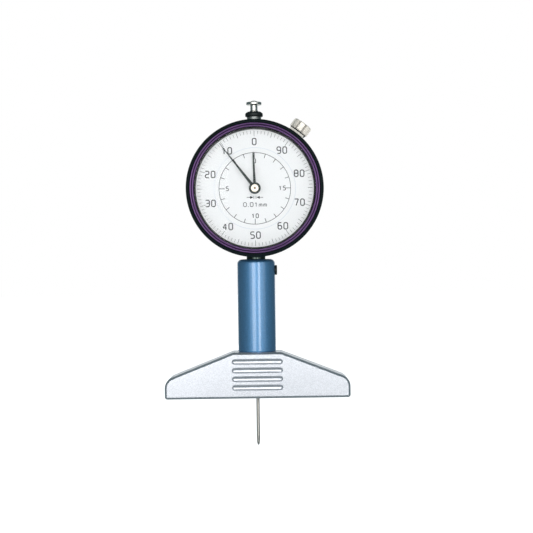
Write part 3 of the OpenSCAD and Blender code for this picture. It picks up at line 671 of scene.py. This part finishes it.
def rear_cover():
    inner_r, lip = 24.47, 0.8
    face, seat = COVER_HIGH.y, COVER_HIGH.y - 1.2
    step_r, step = 20.5, 0.25
    profile = fillet([
        (0, seat - lip, 0), (inner_r, seat - lip, 0.15), (inner_r, seat, 0), (CASE_R, seat, 0.1),
        (CASE_R, face, 0.5), (step_r + 0.6, face, 0.1), (step_r + 0.3, face - step, 0.1),
        (step_r - 0.3, face - step, 0.1), (step_r - 0.6, face, 0.1), (0, face, 0)], closed=False)
    cover = lathe("rear_cover", profile, facing(0, DIAL_Z), [CASE_METAL], FINE)
    head_r, hole_r, depth = 1.15, 0.7, 0.7
    cutters = [
        lathe("sink", [(0, seat - lip - 1), (hole_r, seat - lip - 1), (hole_r, face - depth),
                       (head_r, face - depth), (head_r, face + 1), (0, face + 1)],
              facing(x, z), steps=SMALL)
        for x, z in cover_screw_places()]
    cut(cover, cutters)
    put(shade(cover), "root", "case_grey", "back_cover")


def cover_screws():
    """Slotted pan heads, each slot left at its own angle."""
    face = COVER_HIGH.y
    head_r, head_t, shank_r, shank = 1.1, 0.65, 0.6, 4.5
    sink, slot_half, slot_depth = 0.7, 0.16, 0.3
    first_turn, next_turn = 25, 67
    slot = [(-2, -slot_half), (2, -slot_half), (2, slot_half), (-2, slot_half)]
    for i, (x, z) in enumerate(cover_screw_places()):
        seat = face - sink
        profile = fillet([(0, seat - shank, 0), (shank_r, seat - shank, 0.1), (shank_r, seat, 0),
                          (head_r, seat, 0), (head_r, seat + head_t, 0.25),
                          (0, seat + head_t, 0)], closed=False)
        head = lathe(f"cover_screw_{i + 1}", profile, facing(x, z), [STEEL], SMALL)
        angle = math.radians(first_turn + next_turn * i)
        turn = Matrix.Translation((x, 0, z)) @ Matrix.Rotation(angle, 4, "Y")
        cut(head, [prism("slot", slot, seat + head_t - slot_depth, seat + 2, place=turn)])
        put(shade(head), "root", "steel")
    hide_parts("back_cover_screws")


def top_collar():
    """Black flanged collar with a chamfered top, screwed into the case's boss."""
    spigot_r, flange_r, top_r, bore_r = 2.3, COLLAR_HIGH.x, 2.85, 1.9
    seat = CASE_HIGH.z
    flange = 1.4
    profile = fillet([
        (bore_r, COLLAR_LOW.z, 0), (spigot_r, COLLAR_LOW.z, 0.1), (spigot_r, seat, 0),
        (flange_r, seat, 0.45), (flange_r, seat + flange, 0.45), (top_r, COLLAR_HIGH.z, 0.2),
        (bore_r, COLLAR_HIGH.z, 0.1)], arcs=6)
    piece = lathe("top_collar", profile, upright(), [OXIDE], FINE, closed=True)
    put(shade(piece), "root", "black_steel", "upper_stem")


def cap():
    """Lifting cap: a waisted neck, a thin disc and a domed middle."""
    neck_r, disc_r, dome_r = 1.75, CAP_HIGH.x, 1.55
    low, high = CAP_LOW.z, CAP_HIGH.z
    disc_low, disc_high, stud_r = low + 2.8, high - 0.7, 1.01
    dome = [(dome_r * math.cos(a), disc_high + (high - disc_high) * math.sin(a), 0)
            for a in [math.pi / 2 * k / 8 for k in range(1, 9)]]
    dome[-1] = (0, high, 0)
    profile = fillet([
        (0, disc_low, 0), (stud_r, disc_low, 0), (stud_r, low, 0), (neck_r, low, 0.15),
        (neck_r, low + 0.35, 0.1), (neck_r - 0.22, low + 0.6, 0.2),
        (neck_r - 0.22, disc_low, 0.25), (disc_r, disc_low, 0.25), (disc_r, disc_high, 0.3),
        (dome_r + 0.1, disc_high, 0.1), *dome], closed=False, arcs=6)
    piece = lathe("lift_cap", profile, upright(), [NICKEL], FINE)
    put(shade(piece, 50), "spindle", "nickel", "lifting_cap")


# ---- Bezel and crystal ----

BAND_IN = 25.2
BAND_OUT = 27.05
KNURL_TEETH = 180


def ridge_profile(front):
    """Two rounded ridges across the purple band."""
    ridges, depth, points = 2, 0.62, 10
    width = (BAND_OUT - BAND_IN) / ridges
    profile = []
    for i in range(ridges * points + 1):
        swing = abs(math.sin(math.pi * i / points))
        profile.append((BAND_IN + width * i / points, front + depth * (1 - swing ** 0.7), 0))
    return profile


def knurled(angle, radius, along):
    """Shallow straight serrations round the bezel's rear half."""
    depth, front_y, back_y = 0.11, BEZEL_LOW.y + 2.6, BEZEL_HIGH.y - 0.8
    if radius < BEZEL_R - 0.05 or not front_y < along < back_y:
        return 0
    return -depth * (0.5 - 0.5 * math.cos(KNURL_TEETH * angle))


def bezel_ring():
    front, back = BEZEL_LOW.y, BEZEL_HIGH.y
    seat_r, bore, opening_r, dial_seat = 25.12, 26.25, 24.45, 25.6
    ledge_front, ledge_back, ring_back = SEAL_HIGH.y, DIAL_FACE, DIAL_HIGH.y + 0.45
    groove_r, groove_y = 26.7, -7.2
    rim = [(BAND_OUT + 0.12, front + 0.50, 0), (BAND_OUT + 0.3, front + 0.24, 0.1),
           (BEZEL_R - 0.55, front + 0.42, 0.25), (BEZEL_R, front + 1.2, 0.4)]
    knurl_rows = [front + 2.5, front + 2.7, front + 4.2, back - 0.9, back - 0.7]
    side = [(BEZEL_R, y, 0) for y in knurl_rows]
    inside = [
        (BEZEL_R, back, 0.4), (bore, back, 0.1), (bore, groove_y + 0.4, 0),
        (groove_r, groove_y + 0.4, 0), (groove_r, groove_y - 0.4, 0), (bore, groove_y - 0.4, 0),
        (bore, ring_back, 0), (dial_seat, ring_back, 0), (dial_seat, ledge_back, 0),
        (opening_r, ledge_back, 0), (opening_r, ledge_front, 0), (seat_r, ledge_front, 0),
        (seat_r, front + 0.45, 0)]
    profile = fillet(ridge_profile(front) + rim + side + inside, arcs=4)

    def paint(radius, along):
        return 0 if BAND_IN - 0.02 < radius < BAND_OUT + 0.02 and along < front + 0.45 else 1

    steps = KNURL_TEETH * 6
    ring = lathe("bezel_ring", [(p.x, p.y) for p in profile], facing(0, DIAL_Z),
                 [PURPLE, RIM_BLACK], steps, closed=True, wave=knurled, paint=paint)
    put(shade(ring, 40), "bezel", "purple_black_anodised", "bezel")


def crystal_and_seal():
    radius, back = CRYSTAL_HIGH.x, CRYSTAL_HIGH.y
    edge, top = CRYSTAL_LOW.y + 0.5, CRYSTAL_LOW.y
    rings = 14
    dome = [(radius * k / rings, top + (edge - top) * (k / rings) ** 2, 0)
            for k in range(rings)]
    profile = fillet(dome + [(radius, edge, 0.15), (radius, back, 0.1), (0, back, 0)],
                     closed=False)
    glass = lathe("dial_crystal", profile, facing(0, DIAL_Z), [CRYSTAL], FINE)
    put(shade(glass, 50), "bezel", "clear_crystal", "crystal")
    inner, outer = 24.45, SEAL_HIGH.x
    front, rear = SEAL_LOW.y, SEAL_HIGH.y
    seal = fillet([(inner, front, 0.12), (outer, front, 0.05), (outer, rear, 0.05),
                   (inner, rear, 0.12)])
    ring = lathe("dial_seal", seal, facing(0, DIAL_Z), [RUBBER], FINE, closed=True)
    put(shade(ring), "bezel", "black_rubber", "crystal_seal")


# ---- Dial ----

PRINT_FRONT = DIAL_FACE - 0.02
PRINT_BACK = DIAL_FACE + 0.01
DIVISIONS = 100
TICK_OUT = 23.9
INNER_CIRCLE_R = 14.85
PALE_CIRCLE_R = 16.9


def dial_disc():
    radius, hole = DIAL_HIGH.x, 1.9
    profile = fillet([(hole, DIAL_FACE, 0.05), (radius, DIAL_FACE, 0.05),
                      (radius, DIAL_HIGH.y, 0.05), (hole, DIAL_HIGH.y, 0.05)], arcs=3)
    disc = lathe("dial_disc", profile, facing(0, DIAL_Z), [GLOWING_DIAL_WHITE], FINE, closed=True)
    put(shade(disc), "bezel", "dial_white", "dial_plate")


def add_bar(bm, matrix, width, low, high):
    """A printed bar along local z between two heights, standing proud of the dial."""
    corners = [(x, y, z) for x in (-width / 2, width / 2) for y in (PRINT_FRONT, PRINT_BACK)
               for z in (low, high)]
    v = [bm.verts.new(matrix @ Vector(c) * MM) for c in corners]
    for face in ((0, 1, 3, 2), (4, 6, 7, 5), (0, 4, 5, 1), (2, 3, 7, 6), (0, 2, 6, 4),
                 (1, 5, 7, 3)):
        bm.faces.new([v[i] for i in face])


def add_loop(bm, radius, width):
    """A printed circle about the dial's centre."""
    inner, outer = radius - width / 2, radius + width / 2
    rings = []
    for r, y in ((inner, PRINT_FRONT), (outer, PRINT_FRONT), (outer, PRINT_BACK),
                 (inner, PRINT_BACK)):
        rings.append([bm.verts.new(Vector((x, y, z + DIAL_Z)) * MM)
                      for x, z in circle_points(r, FINE)])
    for i in range(4):
        one, two = rings[i], rings[(i + 1) % 4]
        for k in range(FINE):
            n = (k + 1) % FINE
            bm.faces.new([one[k], one[n], two[n], two[k]])


def at_angle(degrees):
    """Turns the top of the dial anticlockwise, as seen from the front."""
    return Matrix.Translation(DIAL_CENTRE) @ Matrix.Rotation(math.radians(-degrees), 4, "Y")


def dial_scales():
    bm = bmesh.new()
    for i in range(DIVISIONS):
        length = 2.3 if i % 10 == 0 else 1.9 if i % 5 == 0 else 1.35
        width = 0.16 if i % 5 == 0 else 0.12
        add_bar(bm, at_angle(i * 360 / DIVISIONS), width, TICK_OUT - length, TICK_OUT)
    turns = 20
    for i in range(turns):
        length = 2.3 if i % 5 == 0 else 1.7
        add_bar(bm, at_angle(i * 360 / turns), 0.26, INNER_CIRCLE_R - length, INNER_CIRCLE_R)
    add_loop(bm, INNER_CIRCLE_R, 0.22)
    put(add_object("dial_scales", bm, [INK]), "bezel", "pointer_black")
    pale = bmesh.new()
    add_loop(pale, PALE_CIRCLE_R, 0.22)
    put(add_object("dial_pale_circle", pale, [PALE_INK]), "bezel", "dial_white")


# Strokes of each sign on a square that is one wide and one high, with rounded corners.
SIGNS = {
    "0": [[(0, 0), (1, 0), (1, 1), (0, 1), (0, 0)]],
    "1": [[(0.15, 0.72), (0.55, 1), (0.55, 0)]],
    "2": [[(0, 1), (1, 1), (1, 0.5), (0, 0.5), (0, 0), (1, 0)]],
    "3": [[(0, 1), (1, 1), (1, 0.5), (0.25, 0.5)], [(1, 0.5), (1, 0), (0, 0)]],
    "4": [[(0.75, 0), (0.75, 1), (0, 0.3), (1, 0.3)]],
    "5": [[(1, 1), (0, 1), (0, 0.55), (1, 0.55), (1, 0), (0, 0)]],
    "6": [[(0.9, 1), (0, 1), (0, 0), (1, 0), (1, 0.55), (0, 0.55)]],
    "7": [[(0, 1), (1, 1), (0.35, 0)]],
    "8": [[(0, 0), (1, 0), (1, 1), (0, 1), (0, 0)], [(0, 0.52), (1, 0.52)]],
    "9": [[(0.1, 0), (1, 0), (1, 1), (0, 1), (0, 0.45), (1, 0.45)]],
    ".": [[(0, 0), (1, 0)]],
    "m": [[(0, 0), (0, 0.6), (0.5, 0.6), (0.5, 0)], [(0.5, 0.6), (1, 0.6), (1, 0)]],
}


def add_ribbon(bm, points, width):
    """A printed line of even width along points of the dial's face."""
    sides = []
    for k, p in enumerate(points):
        before = p - points[max(k - 1, 0)]
        after = points[min(k + 1, len(points) - 1)] - p
        before = before.normalized() if before.length else after.normalized()
        after = after.normalized() if after.length else before
        middle = (before + after).normalized()
        across = Vector((-middle.y, middle.x)) * width / 2 / max(middle.dot(before), 0.5)
        sides.append([bm.verts.new(Vector((q.x, y, q.y + DIAL_Z)) * MM)
                      for y in (PRINT_FRONT, PRINT_BACK) for q in (p - across, p + across)])
    for one, two in zip(sides, sides[1:]):
        for a, b in ((0, 1), (1, 3), (3, 2), (2, 0)):
            bm.faces.new([one[a], one[b], two[b], two[a]])
    for end in (sides[0], sides[-1]):
        bm.faces.new([end[0], end[1], end[3], end[2]])


def add_sign(bm, sign, x, z, width, height, line):
    """Draws one sign with its middle at a place on the dial."""
    roundness = 0.08 if sign in "147" else 0.32
    corner = min(width, height) * roundness
    for stroke in SIGNS[sign]:
        closed = stroke[0] == stroke[-1]
        path = [(x + (u - 0.5) * (width - line), z + (v - 0.5) * (height - line), corner)
                for u, v in (stroke[:-1] if closed else stroke)]
        points = fillet(path, closed=closed, arcs=5)
        if closed:
            points.append(points[0])
        add_ribbon(bm, points, line)


def label(name, text, x, z, height, width, gap, line):
    """Printed lettering with its middle at a place on the dial."""
    bm = bmesh.new()
    widths = [2 * line if sign == "." else width for sign in text]
    left = x - (sum(widths) + gap * (len(text) - 1)) / 2
    for sign, own in zip(text, widths):
        add_sign(bm, sign, left + own / 2, z, own, height, line)
        left += own + gap
    put(add_object(name, bm, [INK]), "bezel", "pointer_black")


def dial_numerals():
    outer_r, inner_r = 19.4, 11.4
    for i in range(10):
        a = math.radians(36 * i)
        label(f"dial_number_{10 * i}", str(10 * i), -outer_r * math.sin(a),
              outer_r * math.cos(a), 3.1, 1.95, 0.5, 0.42)
    for i in range(4):
        a = math.radians(90 * i)
        label(f"turn_number_{5 * i}", str(5 * i), -inner_r * math.sin(a),
              inner_r * math.cos(a), 2.0, 1.3, 0.4, 0.32)
    label("graduation_label", "0.01mm", 0, -6.7, 1.95, 1.45, 0.4, 0.25)


def direction_mark():
    """Two small arrows under the hub that point away from two short bars."""
    height, bar_x, arrow_x, tail_x = -3.75, 0.45, 2.0, 3.4
    bm = bmesh.new()
    for side in (-1, 1):
        upright_bar = Matrix.Translation((side * bar_x, 0, DIAL_Z + height))
        add_bar(bm, upright_bar, 0.2, -0.6, 0.6)
        tail = Matrix.Translation((side * (arrow_x + tail_x) / 2, 0, DIAL_Z + height))
        add_bar(bm, tail, tail_x - arrow_x, -0.11, 0.11)
        outline = [(bar_x + 0.2, 0), (arrow_x, 0.6), (arrow_x, -0.6)]
        rows = [[bm.verts.new(Vector((side * x, y, DIAL_Z + height + z)) * MM)
                 for x, z in outline] for y in (PRINT_FRONT, PRINT_BACK)]
        bm.faces.new(rows[0])
        bm.faces.new(rows[1][::-1])
        for k in range(3):
            n = (k + 1) % 3
            bm.faces.new([rows[0][k], rows[0][n], rows[1][n], rows[1][k]])
    put(add_object("direction_mark", bm, [INK]), "bezel", "pointer_black")


# ---- Pointers ----

def hand_outline(length, root_w, tip_w, hub_r):
    """A tapered hand that points up, running into a round hub."""
    reach = math.asin(root_w / 2 / hub_r)
    arc = [(hub_r * math.sin(a), hub_r * math.cos(a))
           for a in [reach + (2 * math.pi - 2 * reach) * k / SMALL for k in range(SMALL + 1)]]
    return [(-tip_w / 2, length - tip_w / 2), (0, length), (tip_w / 2, length - tip_w / 2)] + arc


def pointers():
    direction = Vector((LONG_LOW.x, LONG_HIGH.z - DIAL_Z))
    angle = math.degrees(math.atan2(-direction.x, direction.y))
    reach = direction.length
    bore, bore_front = 1.01, -20
    outline = hand_outline(reach - 0.1, 1.15, 0.22, 2.45)
    hand = prism("long_hand", outline, LONG_LOW.y, LONG_HIGH.y, [HAND_PAINT], 0.05,
                 at_angle(angle))
    cut(hand, [drill(bore, bore_front, 0, facing(0, DIAL_Z))])
    put(shade(hand), "pointer", "pointer_black", "long_pointer")
    short_t, counted_turns = 0.25, 20
    hub_r, sleeve_in, sleeve_bore = 2.1, 1.4, 1.51
    outline = hand_outline(SHORT_HIGH.z - DIAL_Z - 0.02, 1.05, 0.55, hub_r)
    front = SHORT_LOW.y
    short = prism("short_hand", outline, front, front + short_t, [HAND_PAINT], 0.05,
                  at_angle(angle / counted_turns))
    sleeve_front = front + short_t - 0.05
    sleeve = fillet([(sleeve_in, sleeve_front, 0), (hub_r, sleeve_front, 0),
                     (hub_r, SHORT_HIGH.y, 0.1), (sleeve_in, SHORT_HIGH.y, 0)])
    collar = lathe("collar", sleeve, facing(0, DIAL_Z), [HAND_PAINT], MEDIUM, closed=True)
    join_shapes(short, [collar])
    cut(short, [drill(sleeve_bore, bore_front, 0, facing(0, DIAL_Z))])
    put(shade(short), "counter", "pointer_black", "short_pointer")
    front, face, back = BOSS_LOW.y, LONG_LOW.y, BOSS_HIGH.y
    arbor_r, cap_r, spigot_r = 0.51, 1.55, 1.0
    profile = fillet([(arbor_r, front, 0.06), (cap_r, front, 0.16), (cap_r, face, 0.05),
                      (spigot_r, face, 0), (spigot_r, back, 0.05), (arbor_r, back, 0)])
    boss = lathe("hand_boss", profile, facing(0, DIAL_Z), [CREAM_METAL], MEDIUM, closed=True)
    put(shade(boss), "pointer", "nickel", "pointer_boss")


# ---- Clamp ----

def clamp_plate():
    """Bent plate that reaches over the bezel's rim."""
    low, high = span("clamp_claw")
    width, plate_low, plate_t = 6.6, BEZEL_R + 0.5, 0.7
    front, back, pad_back = low.y, high.y, BEZEL_HIGH.y - 0.5
    bm = bmesh.new()
    place = outward()
    columns, hole_r, rim, corner = 13, 1.7, 0.14, 40
    grid = []
    for k in range(columns):
        x = -width / 2 + width * k / (columns - 1)
        under = math.sqrt((BEZEL_R + 0.06) ** 2 - x ** 2)
        rows = [(front, under), (pad_back, under), (pad_back, plate_low), (back, plate_low),
                (back, plate_low + plate_t), (front, plate_low + plate_t)]
        grid.append([bm.verts.new(place @ Vector((x, y - CLAMP_Y, r)) * MM) for y, r in rows])
    for one, two in zip(grid, grid[1:]):
        for k in range(6):
            n = (k + 1) % 6
            bm.faces.new([one[k], one[n], two[n], two[k]])
    bm.faces.new(grid[0])
    bm.faces.new(grid[-1][::-1])
    plate = add_object("clamp_plate", bm, [CLAW_STEEL])
    cut(plate, [drill(hole_r, WALL_INSIDE, WALL_OUTSIDE, place)])
    bevel = plate.modifiers.new("bevel", "BEVEL")
    bevel.width = rim * MM
    bevel.segments = 3
    bevel.limit_method = "ANGLE"
    bevel.angle_limit = math.radians(corner)
    put(shade(plate), "clamp_claw", "nickel", "clamp_claw")


def fluted_knob():
    """Clamp knob with eight broad lands, chamfered rims, a dished end and its screw."""
    foot = BEZEL_R + 2.05
    radius, height = 4.2, 3.9
    neck_r, neck_low, shank_r, shank_low = 3.7, BEZEL_R + 1.25, 1.5, 24.7
    top = foot + height
    flutes, depth, crown_h, rim = 8, 0.55, 0.07, 0.75
    turn, flute_half = math.pi / flutes, math.radians(7.5)

    def wave(angle, r, along):
        if r < radius - rim:
            return 0
        away = abs(angle % (2 * turn) - turn)
        groove = math.cos(math.pi / 2 * away / flute_half) if away < flute_half else 0
        crown = crown_h * (1 - math.cos(math.pi * away / turn)) / 2
        return -(depth * groove + crown_h - crown) * (r - radius + rim) / rim

    # The neck and the screw's shank get black oxide; on the neck the black is painted shade under
    # the knob.
    def paint(r, along):
        return 1 if along < foot - 0.01 and r > shank_r - 0.4 else 0

    profile = fillet([
        (0, shank_low, 0), (shank_r - 0.3, shank_low, 0), (shank_r, shank_low + 0.3, 0),
        (shank_r, neck_low, 0), (neck_r, neck_low, 0.1), (neck_r, foot, 0),
        (radius - 0.25, foot, 0), (radius, foot + 0.3, 0.15), (radius, foot + 0.7, 0),
        (radius, top - 0.7, 0), (radius, top - 0.4, 0.15), (radius - 0.4, top, 0.15),
        (radius - 1.0, top, 0.1), (radius - 1.25, top - 0.16, 0.1), (0, top - 0.16, 0)],
        closed=False)
    knob = lathe("fluted_knob", [(p.x, p.y) for p in profile], outward(),
                 [KNOB_NICKEL, OXIDE, CLAW_STEEL],
                 steps=flutes * 48, wave=wave, paint=paint)
    # The faces along each flute's bottom get the darker claw steel: painted shade in the grooves.
    local = outward().inverted()
    for face in knob.data.polygons:
        p = local @ (face.center / MM)
        away = abs(math.atan2(p.y, p.x) % (2 * turn) - turn)
        if away < flute_half * 0.6 and p.xy.length > radius - rim and p.z > foot:
            face.material_index = 2
    put(shade(knob, 42), "clamp_screw", "nickel", "clamp_knob")


# ---- Return spring ----

def coil_spring():
    """Round wire coil that stretches between the frame's post and the spindle's arm."""
    wire_r, turns, per_turn, sides = 0.17, 15, 20, 8
    low, high = SPRING_LOW.z, SPRING_HIGH.z
    centre = (SPRING_LOW + SPRING_HIGH) / 2
    mean_r = (SPRING_HIGH.x - SPRING_LOW.x) / 2 - wire_r
    steps = turns * per_turn
    bm = bmesh.new()
    rings = []
    for i in range(steps + 1):
        a = 2 * math.pi * i / per_turn
        z = low + wire_r + (high - low - 2 * wire_r) * i / steps
        ring = []
        for k in range(sides):
            b = 2 * math.pi * k / sides
            r = mean_r + wire_r * math.cos(b)
            ring.append(bm.verts.new(Vector((
                centre.x + r * math.cos(a), r * math.sin(a), z + wire_r * math.sin(b))) * MM))
        rings.append(ring)
    for one, two in zip(rings, rings[1:]):
        for k in range(sides):
            n = (k + 1) % sides
            bm.faces.new([one[k], two[k], two[n], one[n]])
    bm.faces.new(rings[0])
    bm.faces.new(rings[-1][::-1])
    coil = shade(add_object("coil_spring", bm, [WIRE]), 60)
    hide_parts("return_spring")
    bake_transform(coil)


# ---- Movement: the CAD solids keep their shape and get a finish ----

FINISHES = {
    BRASS: ["front_plate", "mid_plate", "rear_cock", "main_gear", "counter_wheel",
            "takeup_gear", "counter_pinion", "counter_sleeve", "guide_arm", "needle_holder"],
    BRONZE: ["front_bush", "arbor_bushes", "lower_bushing", "upper_bush", "hairspring_collet",
             "plate_pillars", "cock_pillars"],
    ARBOR_STEEL: ["centre_arbor"],
    STEEL: ["spindle", "rack_arbor", "takeup_arbor", "guide_rod",
            "spring_post", "movement_screws", "cock_screws", "hairspring_stud"],
    WIRE: ["bezel_spring_ring", "dial_retaining_ring"],
    BLUED: ["hairspring"],
}


def finish_movement():
    for finish, nodes in FINISHES.items():
        for name in nodes:
            mesh = frame["nodes"][name].data
            mesh.materials.clear()
            mesh.materials.append(finish)


# ---- Floor, light and camera ----

MIDDLE = (0, 0, 0.055)

# Each light's place, its width and height, and its power; all of them face the middle.
LIGHTS = {
    "front_left": ((-0.205, -0.77, 0.22), (0.30, 0.60), 1.70),
    "front_right": ((0.235, -0.76, 0.22), (0.17, 0.60), 1.42),
    "front_fill": ((0.12, -1.0, 0.28), (2.4, 0.7), 4.6),
    "back_wall": ((0, 1.1, 0.05), (1.2, 0.8), 3.0),
}


def add_light(name, place, size, power):
    data = bpy.data.lights.new(name, "AREA")
    data.shape = "RECTANGLE"
    data.size, data.size_y = size
    data.energy = power
    light = bpy.data.objects.new(name, data)
    light.location = place
    light.rotation_euler = (Vector(MIDDLE) - Vector(place)).to_track_quat("-Z", "Y").to_euler()
    light.visible_camera = False
    bpy.context.scene.collection.objects.link(light)


def pale_floor():
    drop = 0.03
    bpy.ops.mesh.primitive_plane_add(size=8, location=(0, 0, cad_low.z - drop))
    floor = bpy.context.object
    floor.name = "floor"
    pale = Shader("floor_pale", (0.92, 0.92, 0.92), 0.9,
                  Emission_Color=(1, 1, 1, 1), Emission_Strength=1.0)
    floor.data.materials.append(pale.material)
    floor.visible_glossy = False


def room():
    """A dim bluish room that lights the object behind a plain white backdrop."""
    world = bpy.data.worlds.new("studio")
    bpy.context.scene.world = world
    world.use_nodes = True
    nodes, links = world.node_tree.nodes, world.node_tree.links
    dim = nodes["Background"]
    dim.inputs["Color"].default_value = (0.62, 0.92, 1.0, 1)
    dim.inputs["Strength"].default_value = 0.16
    backdrop = nodes.new("ShaderNodeBackground")
    backdrop.inputs["Color"].default_value = (1, 1, 1, 1)
    mix = nodes.new("ShaderNodeMixShader")
    path = nodes.new("ShaderNodeLightPath")
    links.new(path.outputs["Is Camera Ray"], mix.inputs[0])
    links.new(dim.outputs[0], mix.inputs[1])
    links.new(backdrop.outputs[0], mix.inputs[2])
    links.new(mix.outputs[0], nodes["World Output"].inputs[0])


def camera():
    """Looks straight along +Y at the dial's side of the object, leaning a little."""
    eye, lean = (0.0044, -0.5, 0.0550), -0.80
    data = bpy.data.cameras.new("camera")
    data.sensor_width = 36
    data.lens = 79.7
    data.clip_start = 0.01
    cam = bpy.data.objects.new("camera", data)
    level = Matrix.Rotation(math.radians(90), 4, "X")
    roll = Matrix.Rotation(math.radians(lean), 4, "Z")
    cam.matrix_world = Matrix.Translation(eye) @ level @ roll
    bpy.context.scene.collection.objects.link(cam)
    bpy.context.scene.camera = cam
    bpy.context.scene.view_settings.view_transform = "Standard"


pale_floor()
room()
for light_name, settings in LIGHTS.items():
    add_light(light_name, *settings)
camera()
measuring_base()
grip()
set_screw()
stem()
probe_needle()
gauge_case()
rear_cover()
cover_screws()
top_collar()
cap()
bezel_ring()
crystal_and_seal()
dial_disc()
dial_scales()
dial_numerals()
direction_mark()
pointers()
clamp_plate()
fluted_knob()
coil_spring()
finish_movement()
